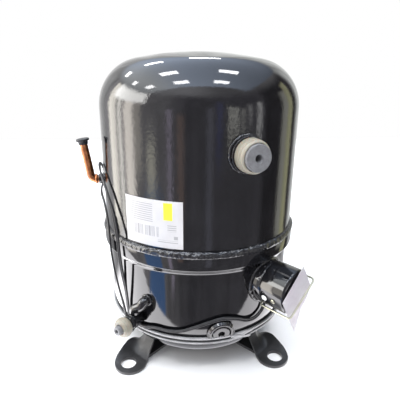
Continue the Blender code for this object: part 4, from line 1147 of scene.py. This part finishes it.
def make_world():
    """White to the camera. To the object, a room: a pale ceiling, windows at the left, and dark in front."""
    world = bpy.data.worlds.new("room")
    bpy.context.scene.world = world
    world.use_nodes = True
    world.node_tree.nodes.clear()
    g = Graph(world.node_tree, "Generated")
    x, y, z = g.axes()
    bearing, _ = g.around()
    elevation = g.times(g.math("ARCSINE", z), 180 / pi)

    def soft_band(value, limits, edge):
        low, high = limits
        return g.times(g.step(value, low - edge, low + edge), g.step(value, high + edge, high - edge))

    side = g.mix(g.step(bearing, -58.0, -14.0), (1.75, 1.7, 1.75), (0.55, 0.53, 0.58))
    side = g.mix(g.step(bearing, 70.0, 76.0), side, (0.14, 0.13, 0.13))
    side = g.mix(g.step(bearing, 128.0, 140.0), side, (1.25, 1.27, 1.25))
    side = g.mix(g.step(bearing, -126.0, -136.0), side, (1.3, 1.3, 1.3))
    wobble = g.noise(9.0, 4.0, 0.6, stretch=(1, 1, 0.12))
    side = g.mix(0.8, side, g.ramp(wobble, (0.35, 0.55), (0.65, 1.0)), "MULTIPLY")
    for bearings, elevations, radiance in ROOM:
        inside = g.times(soft_band(bearing, bearings, 0.9), soft_band(elevation, elevations, 2.0))
        side = g.mix(inside, side, radiance)
    upper = g.mix(g.step(bearing, -20.0, 30.0), (2.1, 2.1, 2.2), (0.85, 0.84, 0.86))
    side = g.mix(g.step(elevation, 27.0, 42.0), side, upper)

    level = g.math("SUBTRACT", 2.85, g.math("ADD", g.times(y, 1.6), g.times(x, 2.1)))
    level = g.times(level, g.step(z, 0.20, 0.75))
    tint = g.mix(g.step(x, -0.75, -0.1), (0.98, 1.02, 1.05), (0.86, 1.0, 1.25))
    ceiling = g.mix(1.0, tint, level, "MULTIPLY")
    front = g.step(g.math("ADD", y, g.times(z, 0.68)), -0.03, 0.03)
    right = g.step(g.math("SUBTRACT", g.times(z, 1.15), x), -0.03, 0.03)
    above = g.times(front, right, g.step(elevation, 26.0, 34.0))
    room = g.mix(above, side, ceiling)

    seen = g.nodes.new("ShaderNodeBackground")
    seen.inputs["Color"].default_value = (1, 1, 1, 1)
    lit = g.nodes.new("ShaderNodeBackground")
    g.links.new(room, lit.inputs["Color"])
    path = g.nodes.new("ShaderNodeLightPath")
    strength = g.math("ADD", MATT_SHARE, g.times(path.outputs["Is Glossy Ray"], 1 - MATT_SHARE))
    g.links.new(strength, lit.inputs["Strength"])
    whole = g.either(path.outputs["Is Camera Ray"], lit.outputs["Background"], seen.outputs["Background"])
    g.links.new(whole, g.nodes.new("ShaderNodeOutputWorld").inputs["Surface"])


CEILING = 2.6
LAMP_SIZE = (0.60, 0.34)
LAMP_RADIANCE = 22.0
LAMPS = ((-0.90, 0.05), (0.83, 0.12), (-0.76, -1.07), (0.76, -1.05), (-0.95, 1.90), (0.30, 2.80),
         (-2.35, 1.85), (-2.85, 0.40), (-2.45, -0.80))


def make_lights():
    emitter("front_fill", (-0.5, -1.9, 1.5), (0, 0, 0.17), (1.6, 1.2), 1.3, glossy=False)
    emitter("floor_wash", (0.0, 0.0, 2.4), (0, 0, 0), (3.0, 3.0), 2.0, glossy=False)
    for number, (x, y) in enumerate(LAMPS):
        emitter("ceiling_lamp_%d" % (number + 1), (x, y, CEILING), (x, y, 0), LAMP_SIZE, LAMP_RADIANCE)


CAMERA_PLACE = (-0.0351, -0.5023, 0.3595)
CAMERA_TURNS = ((-4.235, "Z"), (71.453, "X"), (0.42972, "Z"))
SENSOR_MM = 36
LENS_MM = 34.615


def make_camera():
    data = bpy.data.cameras.new("camera")
    data.sensor_width = SENSOR_MM
    data.lens = LENS_MM
    camera = bpy.data.objects.new("camera", data)
    bpy.context.scene.collection.objects.link(camera)
    stand = Matrix.Translation(CAMERA_PLACE)
    for degrees, axis in CAMERA_TURNS:
        stand = stand @ Matrix.Rotation(radians(degrees), 4, axis)
    camera.matrix_world = stand
    bpy.context.scene.camera = camera


make_camera()
make_upper_shell()
make_lower_shell()
make_main_weld()
make_foot("foot_front_left", -45, -1)
make_foot("foot_front_right", 45, 1)
make_foot("foot_back_right", 135, -1)
make_foot("foot_back_left", -135, 1)
make_suction()
make_discharge()
make_oil_fitting()
make_process_tube()
make_terminal_box()
make_bail()
make_card()
make_heater()
make_lead()
make_label()
finish_carried_nodes()
make_floor()
make_world()
make_lights()
bpy.context.scene.view_settings.view_transform = "Standard"
